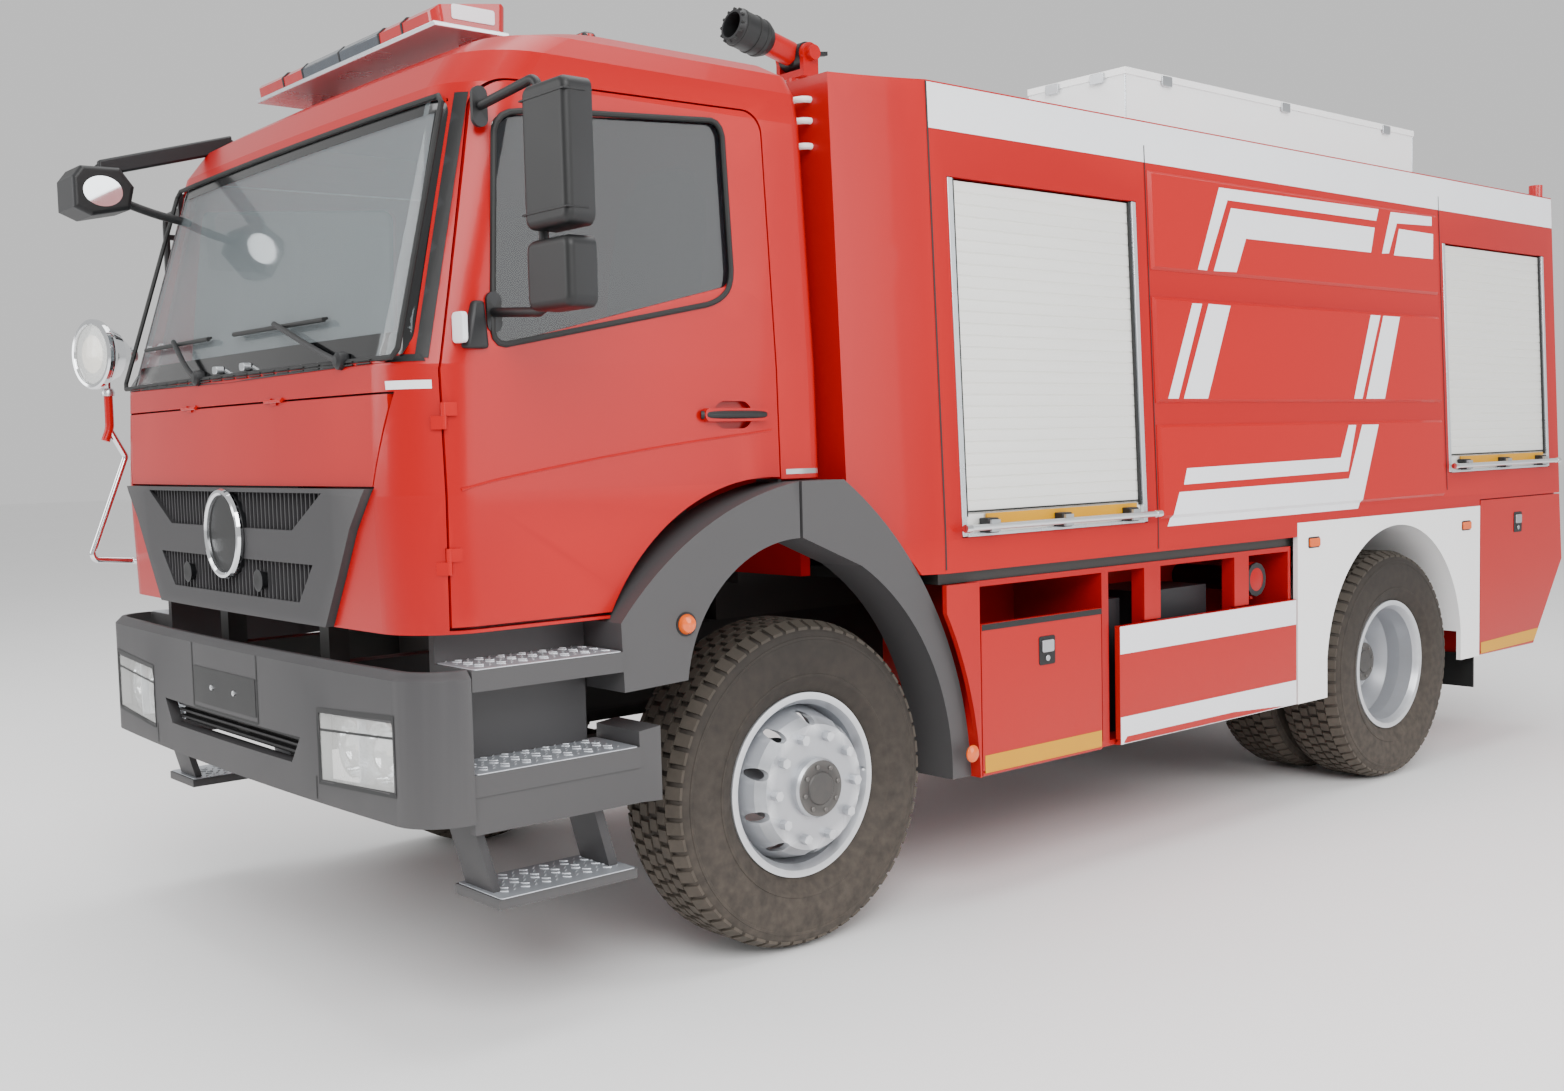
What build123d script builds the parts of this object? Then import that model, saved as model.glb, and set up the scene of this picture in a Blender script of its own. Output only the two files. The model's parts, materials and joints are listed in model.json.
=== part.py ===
from build123d import *
from math import atan2, degrees, sqrt
import os

# Airport fire truck, two axles, short cab, crew of two.
# Millimetres, +Z up, the front faces -Y, the vehicle's left is +X, the ground is Z = 0.
# The origin lies on the ground, in the middle of the overall length and width.

# Running gear
WHEELBASE = 3600
FRONT_REACH = 1560
REAR_REACH = 5370
FRONT_AXLE_Y = (FRONT_REACH - REAR_REACH) / 2
REAR_AXLE_Y = FRONT_AXLE_Y + WHEELBASE
FRONT_LIMIT_Y = FRONT_AXLE_Y - FRONT_REACH
REAR_LIMIT_Y = FRONT_AXLE_Y + REAR_REACH
TYRE_R = 532
TYRE_W = 308
RIM_R = 286
RIM_LIP_R = 299
RIM_W = 254
RIM_T = 9
DISC_T = 14
HAND_HOLE_R = 19
FRONT_WHEEL_X = 1000
DISC_OFFSET = 175
REAR_OUTER_X = 1074
TWIN_PITCH = 350
KINGPIN_X = 905
KINGPIN_R = 26
STUB_R = 40
RUN_GAP = 0.08
HUB_R = 132
HUB_CAP_R = 96
NUT_CIRCLE_R = 167.5
NUT_COUNT = 10

# Chassis frame
RAIL_X = 430
RAIL_FLANGE = 76
RAIL_T = 9
RAIL_BOTTOM = 742
RAIL_TOP = 1000
SPRING_W = 80
SPRING_T = 62
FRONT_SPRING_HALF = 780
REAR_SPRING_HALF = 800
BEAM_H = 110
BEAM_W = 84
BEAM_EYE_R = 42
AXLE_TUBE_R = 78
SPRING_RISE = 70
ENGINE_TOP = 1180
GEARBOX_REAR_Y = FRONT_AXLE_Y + 760
GEARBOX_OUT_Z = 726

# Tow jaws and underrun beam
TOW_Z = 800
TOW_BORE_R = 21
TOW_WALL = 100
UNDERRUN_Z = 520
JAW_PLATE = 24
JAW_WIDTH = 120
JAW_DEPTH = 90
JAW_BORE_OUT = 42
CAB_MOUNT_W = 64
CAB_MOUNT_FRONT_Y = FRONT_AXLE_Y - 1240
CAB_MOUNT_REAR_Y = FRONT_AXLE_Y + 56

# Cab
CAB_HALF = 1140
SCUTTLE_HALF = 1132
CAB_TOP_HALF = 1082
CAB_FRONT_Y = FRONT_AXLE_Y - 1385
CAB_REAR_Y = FRONT_AXLE_Y + 110
CAB_MID_Y = (CAB_FRONT_Y + CAB_REAR_Y) / 2
CAB_BOTTOM = 1150
SCUTTLE_Z = 1865
HEADER_Z = 2640
ROOF_Z = 2842
CAB_CORNER_R = 200
CAB_REAR_R = 60
CAB_BOW = 25
HEADER_Y = FRONT_AXLE_Y - 1145
CAB_WALL = 45
SKIN_DEPTH = 80
CAB_FLOOR_Z = 1570
FOOTWELL_Z = 1215
TUNNEL_HALF = 330
ARCH_TOP = 1520
SEAM = 6
HANDLE_Z = 1722
DOOR_HINGE_Z = (1300, 1690)
KNUCKLE_R = 8
KNUCKLE_H = 36
FLAP_HINGE_X = 380
FLAP_KNUCKLE = 40
FLAP_KNUCKLE_R = 5
DOOR_FRONT_Y = FRONT_AXLE_Y - 1240
DOOR_REAR_Y = FRONT_AXLE_Y - 84
DOOR_TOP = 2644
DOOR_ARCH_Y = FRONT_AXLE_Y - 735
DOOR_BOTTOM = 1158
WINDOW_LOW = 1910
WINDOW_TOP = 2618
SCREEN_LOW_HALF = 1062
SCREEN_TOP_HALF = 990
SCREEN_LOW = 1884
SCREEN_TOP = 2604
PANEL_TOP_HALF = 1020
PANEL_TOP = 1788
PANEL_T = 25
GRILLE_TOP = 1535
GRILLE_LOW_HALF = 645
GRILLE_BOTTOM = 1122
GRILLE_PROUD = 22
MESH_PITCH = 28
MESH_BAR = 6
MESH_FIELDS = [(1522, 1412, 690, 485), (1316, 1202, 605, 500)]

# Bumper, lamps, steps and front mudguards
BUMPER_HALF = 1222
BUMPER_T = 36
BUMPER_FRONT_Y = FRONT_AXLE_Y - 1437
BUMPER_REAR_Y = FRONT_AXLE_Y - 1245
BUMPER_CORNER_R = 150
BUMPER_BOTTOM = 640
BUMPER_TOP = 1052
LAMP_IN = 668
LAMP_OUT = 1080
LAMP_LOW = 706
LAMP_TOP = 902
INTAKE_HALF = 545
INTAKE_TOP = 815
INTAKE_LOW = 735
STEP_IN_X = 985
STEP_OUT_X = 1215
STEP_REAR_Y = FRONT_AXLE_Y - 698
STEP_LOW = 605
UPPER_TREAD_Z = 1050
LOWER_TREAD_Z = 768
HANG_STEP_Z = 425
FENDER_FRONT_Y = FRONT_AXLE_Y - 740
ARCH_LIP_X = 1205
ARCH_LINER_X = 1010
ARCH_GAP = 0.5
GLASS_T = 6
SEAT_GAP = 0.3

# Superstructure
BODY_HALF = 1250
BODY_TOP_HALF = 1192
BODY_BEND_Z = 1290
BODY_FLOOR_Z = 1180
BODY_TOP = 2826
BODY_WALL = 42
FAIRING_FRONT_Y = FRONT_AXLE_Y + 205
BODY_FRONT_Y = FRONT_AXLE_Y + 549
BODY_REAR_Y = FRONT_AXLE_Y + 5290
PANEL_FRONT_Y = FRONT_AXLE_Y + 1735
PANEL_REAR_Y = FRONT_AXLE_Y + 4050
PANEL_RISE = 14
SHUTTER_TOP = 2515
SHUTTER1_Y = (FRONT_AXLE_Y + 632, FRONT_AXLE_Y + 1672)
SHUTTER1_BOTTOM = 1296
SHUTTER2_Y = (FRONT_AXLE_Y + 4078, FRONT_AXLE_Y + 5176)
SHUTTER2_BOTTOM = 1412
SHUTTER_T = 12
SHUTTER_INSET = 14
SLAT = 40
PRESSINGS = [(1306, 1668), (1752, 2160), (2262, 2640)]
FAIRING_TAPER = 107
REAR_SHUTTER_HALF = 760
REAR_SHUTTER_LOW = 1240
REAR_SHUTTER_TOP = 2515
BEARER_HALF = 560

# Lower bays
SKIRT_BOTTOM = 460
BAY_DEPTH = 480
SHEET = 20
BOX_FRONT_Y = FRONT_AXLE_Y + 712
BOX_REAR_Y = FRONT_AXLE_Y + 1438
FLAP_FRONT_Y = FRONT_AXLE_Y + 1488
FLAP_REAR_Y = FRONT_AXLE_Y + 2712
FLAP_TOP = 913
ARCH_FRONT_Y = FRONT_AXLE_Y + 2722
ARCH_REAR_Y = FRONT_AXLE_Y + 4384
ARCH_PANEL_TOP = 1240
REAR_BOX_BOTTOM = 492
KNEE_Z = 918
KNEE_Y = FRONT_AXLE_Y + 5331
BAY_TOP = BODY_FLOOR_Z - 40 - 0.3
POST_Y = (FRONT_AXLE_Y + 1682, FRONT_AXLE_Y + 2292)
POST_W = 104
BOX_DOOR_TOP = 992
REAR_DOOR_TOP = 1266
REAR_FOOT_Y = FRONT_AXLE_Y + 5002
REAR_ARCH_TOP = 1188
REAR_ARCH_FRONT = 642
REAR_ARCH_BACK = 590
REAR_LINER_X = 560
EQUIPMENT = [(760, 1340, 900, 1130), (1820, 2240, 1010, 1120), (1520, 1660, 1000, 1120)]
COUPLING_AT = [(2520, 1010)]
COUPLING_R = 52
COUPLING_REACH = 330

# Roof
LOCKER_TOP = 3085
LOCKER_FRONT_Y = FRONT_AXLE_Y + 1886
LOCKER_REAR_Y = FRONT_AXLE_Y + 4176
LOCKER_IN_X = 510
LOCKER_OUT_X = 1000
MONITOR_Y = FRONT_AXLE_Y + 1040
MONITOR_SWIVEL_Z = 2960
MONITOR_AXIS_Z = 3200
BARREL_LENGTH = 350
NOZZLE_R = 74
MONITOR_BOSS_R = 50
BARREL_RISE = 13
MONITOR_BOSS_HALF = 62
EAR_T = 22
LIGHT_BAR_Y = FRONT_AXLE_Y - 838
LIGHT_BAR_Z = 2892
LIGHT_BAR_W = 1300
LIGHT_BAR_D = 256
LIGHT_BAR_H = 92
ROOF_LAMP_X = 810
ROOF_LAMP_Y = FRONT_AXLE_Y - 560
BEACON_X = 1160
BEACON_Y = FRONT_AXLE_Y + 5180
LADDER_X = -980

# Mirrors, wipers and search lamp
MIRROR_ARM_X = 1390
MIRROR_OUT_X = 1570
MIRROR_Y = FRONT_AXLE_Y - 1080
MIRROR_LOW = 1975
MIRROR_HIGH = 2600
MIRROR_HOUSINGS = ((2190, 2556), (1985, 2165))
SIDE_MIRROR_LOW = 2210
SIDE_MIRROR_ARM_Y = FRONT_AXLE_Y - 1000
SIDE_MIRROR_ARM_X = MIRROR_OUT_X - 62
SIDE_MIRROR_HOUSING = (2391, 2628, FRONT_AXLE_Y - 822, FRONT_AXLE_Y - 607)
KERB_X = -900
WIPER_PIVOT_Z = 1826
WIPERS = [(150, 560, 1960, 330), (-640, -260, 1960, 330)]
LAMP_X = -1210
LAMP_Z = 2020
LAMP_R = 128
LAMP_FACE_Y = FRONT_AXLE_Y - 1400
LAMP_TURN = 13
SEAT_X = 520
SEAT_W = 480
DASH_HALF = 960
STEERING_R = 230
DOOR_T = 22
DOOR_GAP = 6
HINGE_R = 9
LUG_W = 24

os.makedirs("parts", exist_ok=True)


def save(piece, name):
    """Label one finished piece and write its STEP file."""
    piece.label = name
    export_step(piece, f"parts/{name}.step")


def save_pair(piece, name):
    """Write the left-hand piece and its mirrored right-hand twin."""
    save(piece, f"{name}_left")
    save(mirror(piece, about=Plane.YZ), f"{name}_right")


def side_plane(x):
    """Plane at a given X whose sketch axes are the vehicle's Y and Z."""
    return Plane(origin=(x, 0, 0), x_dir=(0, 1, 0), z_dir=(1, 0, 0))


def front_plane(y):
    """Plane at a given Y whose sketch axes are the vehicle's X and Z, facing forward."""
    return Plane(origin=(0, y, 0), x_dir=(1, 0, 0), z_dir=(0, -1, 0))


def outline(points, plane=Plane.XY):
    """Closed straight-sided face through the given points of a plane."""
    with BuildSketch(plane) as shape:
        with BuildLine():
            Polyline(*points, close=True)
        make_face()
    return shape.sketch


def between(z_low, z_high, y_low, y_high, x_low, x_high):
    """Plain box between two corners, used to cut or keep a region."""
    with BuildPart() as region:
        with BuildSketch(Plane.XY.offset(z_low)):
            with Locations(((x_low + x_high) / 2, (y_low + y_high) / 2)):
                Rectangle(x_high - x_low, y_high - y_low)
        extrude(amount=z_high - z_low)
    return region.part


def tyre_section(centre_x):
    """Half section of one tyre, from the bead out to the tread, about the wheel's centre plane."""
    half = TYRE_W / 2
    rise = [(RIM_W / 2 - 14, RIM_LIP_R - 4), (half - 6, RIM_LIP_R + 62), (half, RIM_LIP_R + 118),
            (half - 14, TYRE_R - 34), (half - 34, TYRE_R - 10), (half - 52, TYRE_R - 2)]
    left = [(centre_x - across, r) for across, r in rise]
    right = [(centre_x + across, r) for across, r in reversed(rise)]
    return outline(left + [(centre_x, TYRE_R)] + right)


def rim_section(centre_x, disc_x, side):
    """Half section of a steel rim: the well between its lips, and the dished disc on one side."""
    half = RIM_W / 2
    under = [(half, RIM_LIP_R), (half, RIM_LIP_R - 22), (half - 26, RIM_R - 26), (40, RIM_R - 34)]
    over = [(40, RIM_R - 34 + RIM_T), (half - RIM_T - 4, RIM_R - 10), (half - RIM_T, RIM_LIP_R)]
    ring = [(centre_x + a, r) for a, r in under] + [(centre_x - a, r) for a, r in reversed(under)]
    ring += [(centre_x - a, r) for a, r in reversed(over)] + [(centre_x + a, r) for a, r in over]
    disc = [(centre_x + side * 18, RIM_R - 32), (centre_x + side * 40, RIM_R - 32),
            (disc_x - side * 34, RIM_R - 62), (disc_x, RIM_R - 84), (disc_x, HUB_CAP_R),
            (disc_x - side * DISC_T, HUB_CAP_R), (disc_x - side * DISC_T, RIM_R - 90),
            (disc_x - side * 50, RIM_R - 72)]
    with BuildSketch(Plane.XY) as section:
        add(outline(ring))
        add(outline(disc))
    return section.sketch


# Front wheels
FRONT_DISC_X = FRONT_WHEEL_X + DISC_OFFSET
FRONT_HUB_IN = KINGPIN_X + 62
REAR_DISC_X = REAR_OUTER_X - DISC_OFFSET
REAR_HUB_IN = REAR_OUTER_X - TWIN_PITCH - RIM_W / 2 + 20

with BuildPart() as front_rim:
    revolve(rim_section(FRONT_WHEEL_X, FRONT_DISC_X, 1), axis=Axis.X)
    with BuildSketch(Plane.YZ.offset(FRONT_HUB_IN)):
        Circle(HUB_R)
    extrude(amount=FRONT_DISC_X - DISC_T - FRONT_HUB_IN)
    with BuildSketch(Plane.YZ.offset(FRONT_DISC_X - DISC_T)):
        Circle(HUB_CAP_R)
    extrude(amount=44)
    chamfer(front_rim.faces().sort_by(Axis.X)[-1].edges(), length=10)
    with BuildSketch(Plane.YZ.offset(FRONT_DISC_X)):
        with PolarLocations(NUT_CIRCLE_R, NUT_COUNT):
            RegularPolygon(radius=17, side_count=6)
    extrude(amount=26)
    with BuildSketch(Plane.YZ.offset(FRONT_DISC_X - 90)):
        with PolarLocations(RIM_R - 67, NUT_COUNT, start_angle=18):
            Circle(HAND_HOLE_R)
    extrude(amount=140, mode=Mode.SUBTRACT)
    with BuildSketch(Plane.YZ.offset(FRONT_HUB_IN)):
        Circle(STUB_R + RUN_GAP)
    extrude(amount=110, mode=Mode.SUBTRACT)

with BuildPart() as front_tyre:
    revolve(tyre_section(FRONT_WHEEL_X), axis=Axis.X)

# Rear wheels: one pair of twins a side on a common hub
with BuildPart() as rear_rims:
    revolve(rim_section(REAR_OUTER_X, REAR_DISC_X + DISC_T, -1), axis=Axis.X)
    revolve(rim_section(REAR_OUTER_X - TWIN_PITCH, REAR_DISC_X, 1), axis=Axis.X)
    with BuildSketch(Plane.YZ.offset(REAR_HUB_IN)):
        Circle(HUB_R)
    extrude(amount=REAR_DISC_X + 130 - REAR_HUB_IN)
    with BuildSketch(Plane.YZ.offset(REAR_DISC_X + 130)):
        Circle(HUB_CAP_R)
    extrude(amount=40)
    cap_edges = rear_rims.edges().filter_by(GeomType.CIRCLE).filter_by(lambda e: abs(e.radius - HUB_CAP_R) < 0.1)
    chamfer(cap_edges.sort_by(Axis.X)[-1], length=10)
    with BuildSketch(Plane.YZ.offset(REAR_DISC_X + DISC_T)):
        with PolarLocations(NUT_CIRCLE_R, NUT_COUNT):
            RegularPolygon(radius=17, side_count=6)
    extrude(amount=26)
    with BuildSketch(Plane.YZ.offset(REAR_HUB_IN)):
        Circle(STUB_R + RUN_GAP)
    extrude(amount=150, mode=Mode.SUBTRACT)

with BuildPart() as rear_tyres:
    revolve(tyre_section(REAR_OUTER_X), axis=Axis.X)
    revolve(tyre_section(REAR_OUTER_X - TWIN_PITCH), axis=Axis.X)

FRONT_HUB_AT = Location((0, FRONT_AXLE_Y, TYRE_R))
REAR_HUB_AT = Location((0, REAR_AXLE_Y, TYRE_R))
save_pair(front_rim.part.moved(FRONT_HUB_AT), "front_rim")
save_pair(front_tyre.part.moved(FRONT_HUB_AT), "front_tyre")
save_pair(rear_rims.part.moved(REAR_HUB_AT), "rear_rims")
save_pair(rear_tyres.part.moved(REAR_HUB_AT), "rear_tyres")


# Steering knuckles: kingpin barrel, spindle for the wheel and the steering arm
FORK_HALF = 118
BEAM_EYE_HALF = 59
with BuildPart() as knuckle:
    with BuildSketch(Plane.XY.offset(TYRE_R - FORK_HALF)):
        with Locations((KINGPIN_X, FRONT_AXLE_Y)):
            Circle(44)
        with Locations((KINGPIN_X + 29, FRONT_AXLE_Y)):
            Rectangle(58, 88)
    extrude(amount=FORK_HALF - BEAM_EYE_HALF - 3)
    with BuildSketch(Plane.XY.offset(TYRE_R + BEAM_EYE_HALF + 3)):
        with Locations((KINGPIN_X, FRONT_AXLE_Y)):
            Circle(44)
        with Locations((KINGPIN_X + 29, FRONT_AXLE_Y)):
            Rectangle(58, 88)
    extrude(amount=FORK_HALF - BEAM_EYE_HALF - 3)
    with BuildSketch(Plane.XY.offset(TYRE_R - FORK_HALF)):
        with Locations((KINGPIN_X, FRONT_AXLE_Y)):
            Circle(KINGPIN_R)
    extrude(amount=2 * FORK_HALF)
    with BuildSketch(Plane.YZ.offset(KINGPIN_X + 50)):
        with Locations((FRONT_AXLE_Y, TYRE_R)):
            Rectangle(88, 2 * FORK_HALF)
    extrude(amount=FRONT_HUB_IN - 4 - KINGPIN_X - 50)
    with BuildSketch(Plane.YZ.offset(FRONT_HUB_IN - 4)):
        with Locations((FRONT_AXLE_Y, TYRE_R)):
            Circle(STUB_R)
    extrude(amount=100)
    arm = [(KINGPIN_X - 20, FRONT_AXLE_Y + 20), (KINGPIN_X + 20, FRONT_AXLE_Y + 20),
           (KINGPIN_X - 60, FRONT_AXLE_Y + 190), (KINGPIN_X - 100, FRONT_AXLE_Y + 190)]
    extrude(outline(arm, Plane.XY.offset(TYRE_R - FORK_HALF)), amount=30)
save_pair(knuckle.part, "knuckle")

# Front axle: dropped beam between the kingpins, with the spring seats
SPRING_X = RAIL_X - RAIL_FLANGE / 2
with BuildPart() as front_axle_beam:
    half_beam = [(0, TYRE_R + 20), (SPRING_X + 170, TYRE_R + 20), (KINGPIN_X - 60, TYRE_R + BEAM_EYE_HALF),
                 (KINGPIN_X, TYRE_R + BEAM_EYE_HALF), (KINGPIN_X, TYRE_R - BEAM_EYE_HALF),
                 (KINGPIN_X - 60, TYRE_R - BEAM_EYE_HALF), (SPRING_X + 140, TYRE_R + 20 - BEAM_H),
                 (0, TYRE_R + 20 - BEAM_H)]
    extrude(outline(half_beam, front_plane(FRONT_AXLE_Y + BEAM_W / 2)), amount=BEAM_W)
    mirror(about=Plane.YZ)
    eye_places = [(KINGPIN_X, FRONT_AXLE_Y), (-KINGPIN_X, FRONT_AXLE_Y)]
    with BuildSketch(Plane.XY.offset(TYRE_R - BEAM_EYE_HALF)):
        with Locations(*eye_places):
            Circle(BEAM_EYE_R)
    extrude(amount=2 * BEAM_EYE_HALF)
    with BuildSketch(Plane.XY.offset(TYRE_R - BEAM_EYE_HALF)):
        with Locations(*eye_places):
            Circle(KINGPIN_R + RUN_GAP)
    extrude(amount=2 * BEAM_EYE_HALF, mode=Mode.SUBTRACT)
    with BuildSketch(Plane.XY.offset(TYRE_R + 20)):
        with Locations((SPRING_X, FRONT_AXLE_Y), (-SPRING_X, FRONT_AXLE_Y)):
            Rectangle(SPRING_W + 20, 150)
    extrude(amount=40)
save(front_axle_beam.part, "front_axle_beam")

# Rear axle: banjo housing, spring seats, wheel spindles and the propeller shaft
FRONT_SPRING_Z = TYRE_R + 60
REAR_SPRING_Z = TYRE_R + AXLE_TUBE_R + 24
with BuildPart() as rear_axle:
    with BuildSketch(Plane.YZ):
        with Locations((REAR_AXLE_Y, TYRE_R)):
            Circle(AXLE_TUBE_R)
    extrude(amount=REAR_HUB_IN - 6, both=True)
    with Locations((0, REAR_AXLE_Y, TYRE_R)):
        Sphere(205)
    with BuildSketch(Plane.YZ):
        with Locations((REAR_AXLE_Y, TYRE_R)):
            Circle(STUB_R)
    extrude(amount=REAR_HUB_IN + 140, both=True)
    with BuildSketch(Plane.XY.offset(TYRE_R)):
        with Locations((SPRING_X, REAR_AXLE_Y), (-SPRING_X, REAR_AXLE_Y)):
            Rectangle(SPRING_W + 20, 150)
    extrude(amount=AXLE_TUBE_R + 24)
    with BuildSketch(front_plane(REAR_AXLE_Y)):
        with Locations((0, TYRE_R + 30)):
            Circle(70)
    extrude(amount=320)
    shaft_start = Vector(0, REAR_AXLE_Y - 300, TYRE_R + 30)
    shaft_end = Vector(0, GEARBOX_REAR_Y + 4, GEARBOX_OUT_Z)
    with BuildSketch(Plane(origin=shaft_start, z_dir=shaft_end - shaft_start)):
        Circle(46)
    extrude(amount=(shaft_end - shaft_start).length)
save(rear_axle.part, "rear_axle")


def spring_section(seat_y, half, seat_z, x):
    """Side view of one leaf spring pack: shorter leaves under a curved main leaf with an eye at each end."""
    tip_low, tip_high = seat_z + SPRING_RISE, seat_z + SPRING_RISE + 20
    front, rear = seat_y - half, seat_y + half
    with BuildSketch(side_plane(x)) as section:
        with BuildLine():
            ThreePointArc((front, tip_low), (seat_y, seat_z + 22), (rear, tip_low))
            Line((rear, tip_low), (rear, tip_high))
            ThreePointArc((rear, tip_high), (seat_y, seat_z + SPRING_T), (front, tip_high))
            Line((front, tip_high), (front, tip_low))
        make_face()
        with Locations((front, seat_z + SPRING_RISE + 10), (rear, seat_z + SPRING_RISE + 10)):
            Circle(26)
        with Locations((seat_y, seat_z + 11)):
            Rectangle(half * 0.7, 22)
        with Locations((seat_y, seat_z + 30)):
            Rectangle(half * 1.1, 18)
    return section.sketch


with BuildPart() as leaf_springs:
    for x in (SPRING_X, -SPRING_X):
        left_face = x - SPRING_W / 2
        extrude(spring_section(FRONT_AXLE_Y, FRONT_SPRING_HALF, FRONT_SPRING_Z, left_face), amount=SPRING_W)
        extrude(spring_section(REAR_AXLE_Y, REAR_SPRING_HALF, REAR_SPRING_Z, left_face), amount=SPRING_W)
save(leaf_springs.part, "leaf_springs")

# Ladder frame: channel rails, cross-members, spring hangers, tow jaws and the rear underrun beam
FRAME_FRONT_Y = CAB_FRONT_Y + 95
FRAME_REAR_Y = BODY_REAR_Y - 240
rail = [(RAIL_X, RAIL_BOTTOM), (RAIL_X, RAIL_TOP), (RAIL_X - RAIL_FLANGE, RAIL_TOP),
        (RAIL_X - RAIL_FLANGE, RAIL_TOP - RAIL_T), (RAIL_X - RAIL_T, RAIL_TOP - RAIL_T),
        (RAIL_X - RAIL_T, RAIL_BOTTOM + RAIL_T), (RAIL_X - RAIL_FLANGE, RAIL_BOTTOM + RAIL_T),
        (RAIL_X - RAIL_FLANGE, RAIL_BOTTOM)]
cross_member_places = [FRAME_FRONT_Y + 60, FRONT_AXLE_Y + 900, 0, REAR_AXLE_Y - 860, REAR_AXLE_Y + 860, FRAME_REAR_Y - 60]
spring_eyes = [(FRONT_AXLE_Y - FRONT_SPRING_HALF, FRONT_SPRING_Z), (FRONT_AXLE_Y + FRONT_SPRING_HALF, FRONT_SPRING_Z),
               (REAR_AXLE_Y - REAR_SPRING_HALF, REAR_SPRING_Z), (REAR_AXLE_Y + REAR_SPRING_HALF, REAR_SPRING_Z)]

with BuildPart() as chassis_frame:
    extrude(outline(rail, front_plane(FRAME_REAR_Y)), amount=FRAME_REAR_Y - FRAME_FRONT_Y)
    for eye_y, seat_z in spring_eyes:
        hanger_bottom = seat_z + SPRING_RISE + 36.5
        with BuildSketch(Plane.XY.offset(hanger_bottom)):
            with Locations((SPRING_X, eye_y)):
                Rectangle(SPRING_W, 70)
        extrude(amount=RAIL_BOTTOM + RAIL_T - hanger_bottom)
    for mount_y, mount_top in ((CAB_MOUNT_FRONT_Y, CAB_BOTTOM - 10), (CAB_MOUNT_REAR_Y, ARCH_TOP)):
        with BuildSketch(Plane.XY.offset(RAIL_TOP - 2)):
            with Locations((SPRING_X, mount_y)):
                Rectangle(CAB_MOUNT_W, CAB_MOUNT_W)
        extrude(amount=mount_top - SEAT_GAP - RAIL_TOP + 2)
    strut = [(FRAME_REAR_Y - 150, RAIL_BOTTOM + 2), (FRAME_REAR_Y, RAIL_BOTTOM + 2),
             (BODY_REAR_Y - 60, UNDERRUN_Z + 50), (BODY_REAR_Y - 140, UNDERRUN_Z + 50)]
    extrude(outline(strut, side_plane(SPRING_X - 30)), amount=60)
    mirror(about=Plane.YZ)
save(chassis_frame.part, "chassis_frame")

# Cross-members between the rails, the tow jaws on the end ones, and the rear underrun beam on its struts
MEMBER_HALF = RAIL_X - RAIL_T - SEAT_GAP
with BuildPart() as cross_members:
    with BuildSketch(Plane.XY.offset(RAIL_BOTTOM + 40)):
        with Locations(*[(0, y) for y in cross_member_places]):
            Rectangle(2 * MEMBER_HALF, 80)
    extrude(amount=RAIL_TOP - RAIL_BOTTOM - 80)
    for end_y in (FRAME_FRONT_Y, FRAME_REAR_Y - JAW_PLATE):
        add(between(RAIL_BOTTOM + RAIL_T + SEAT_GAP, TOW_Z + 65, end_y, end_y + JAW_PLATE, -MEMBER_HALF, MEMBER_HALF))
    with BuildSketch(Plane.XY.offset(TOW_Z - TOW_WALL / 2)):
        with Locations((0, FRAME_FRONT_Y - JAW_DEPTH / 2), (0, FRAME_REAR_Y + JAW_DEPTH / 2)):
            Rectangle(JAW_WIDTH, JAW_DEPTH)
        with Locations((0, FRAME_FRONT_Y - JAW_BORE_OUT), (0, FRAME_REAR_Y + JAW_BORE_OUT)):
            Circle(TOW_BORE_R, mode=Mode.SUBTRACT)
    extrude(amount=TOW_WALL)
    fillet(cross_members.edges().filter_by(Axis.Z).filter_by(lambda e: abs(abs(e.center().X) - JAW_WIDTH / 2) < 1)
           .filter_by(lambda e: e.center().Y < FRAME_FRONT_Y - 10 or e.center().Y > FRAME_REAR_Y + 10), radius=30)
    with BuildSketch(Plane.XY.offset(UNDERRUN_Z - 50)):
        with Locations((0, BODY_REAR_Y - 100)):
            Rectangle(2 * (BODY_HALF - BAY_DEPTH - 30), 90)
    extrude(amount=100 - SEAT_GAP)
save(cross_members.part, "cross_members")

# Engine and gearbox as one plain block between the rails
with BuildPart() as engine_block:
    with BuildSketch(Plane.XY.offset(RAIL_BOTTOM - 60)):
        with Locations((0, FRONT_AXLE_Y - 230)):
            Rectangle(2 * (RAIL_X - RAIL_FLANGE) - 40, 860)
    extrude(amount=ENGINE_TOP - RAIL_BOTTOM + 60)
    with BuildSketch(Plane.XY.offset(RAIL_BOTTOM - 60)):
        with Locations((0, (FRONT_AXLE_Y + 200 + GEARBOX_REAR_Y) / 2)):
            Rectangle(400, GEARBOX_REAR_Y - FRONT_AXLE_Y - 200)
    extrude(amount=300)
save(engine_block.part, "engine_block")


# Cab envelope: rounded plan sections from the sill up to the roof
def cab_section(z, half, front_y, rear_y, front_r, rear_r, bow):
    """One rounded plan section of the cab, its front edge slightly bowed."""
    with BuildSketch(Plane.XY.offset(z)) as section:
        with BuildLine():
            Line((half, front_y + bow), (half, rear_y))
            Line((half, rear_y), (-half, rear_y))
            Line((-half, rear_y), (-half, front_y + bow))
            ThreePointArc((-half, front_y + bow), (0, front_y), (half, front_y + bow))
        make_face()
        fillet(section.vertices().group_by(Axis.Y)[-1], radius=rear_r)
        corners = section.vertices().filter_by(lambda v: abs(v.Y - front_y - bow) < 1)
        fillet(corners, radius=front_r)
    return section.sketch


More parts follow.
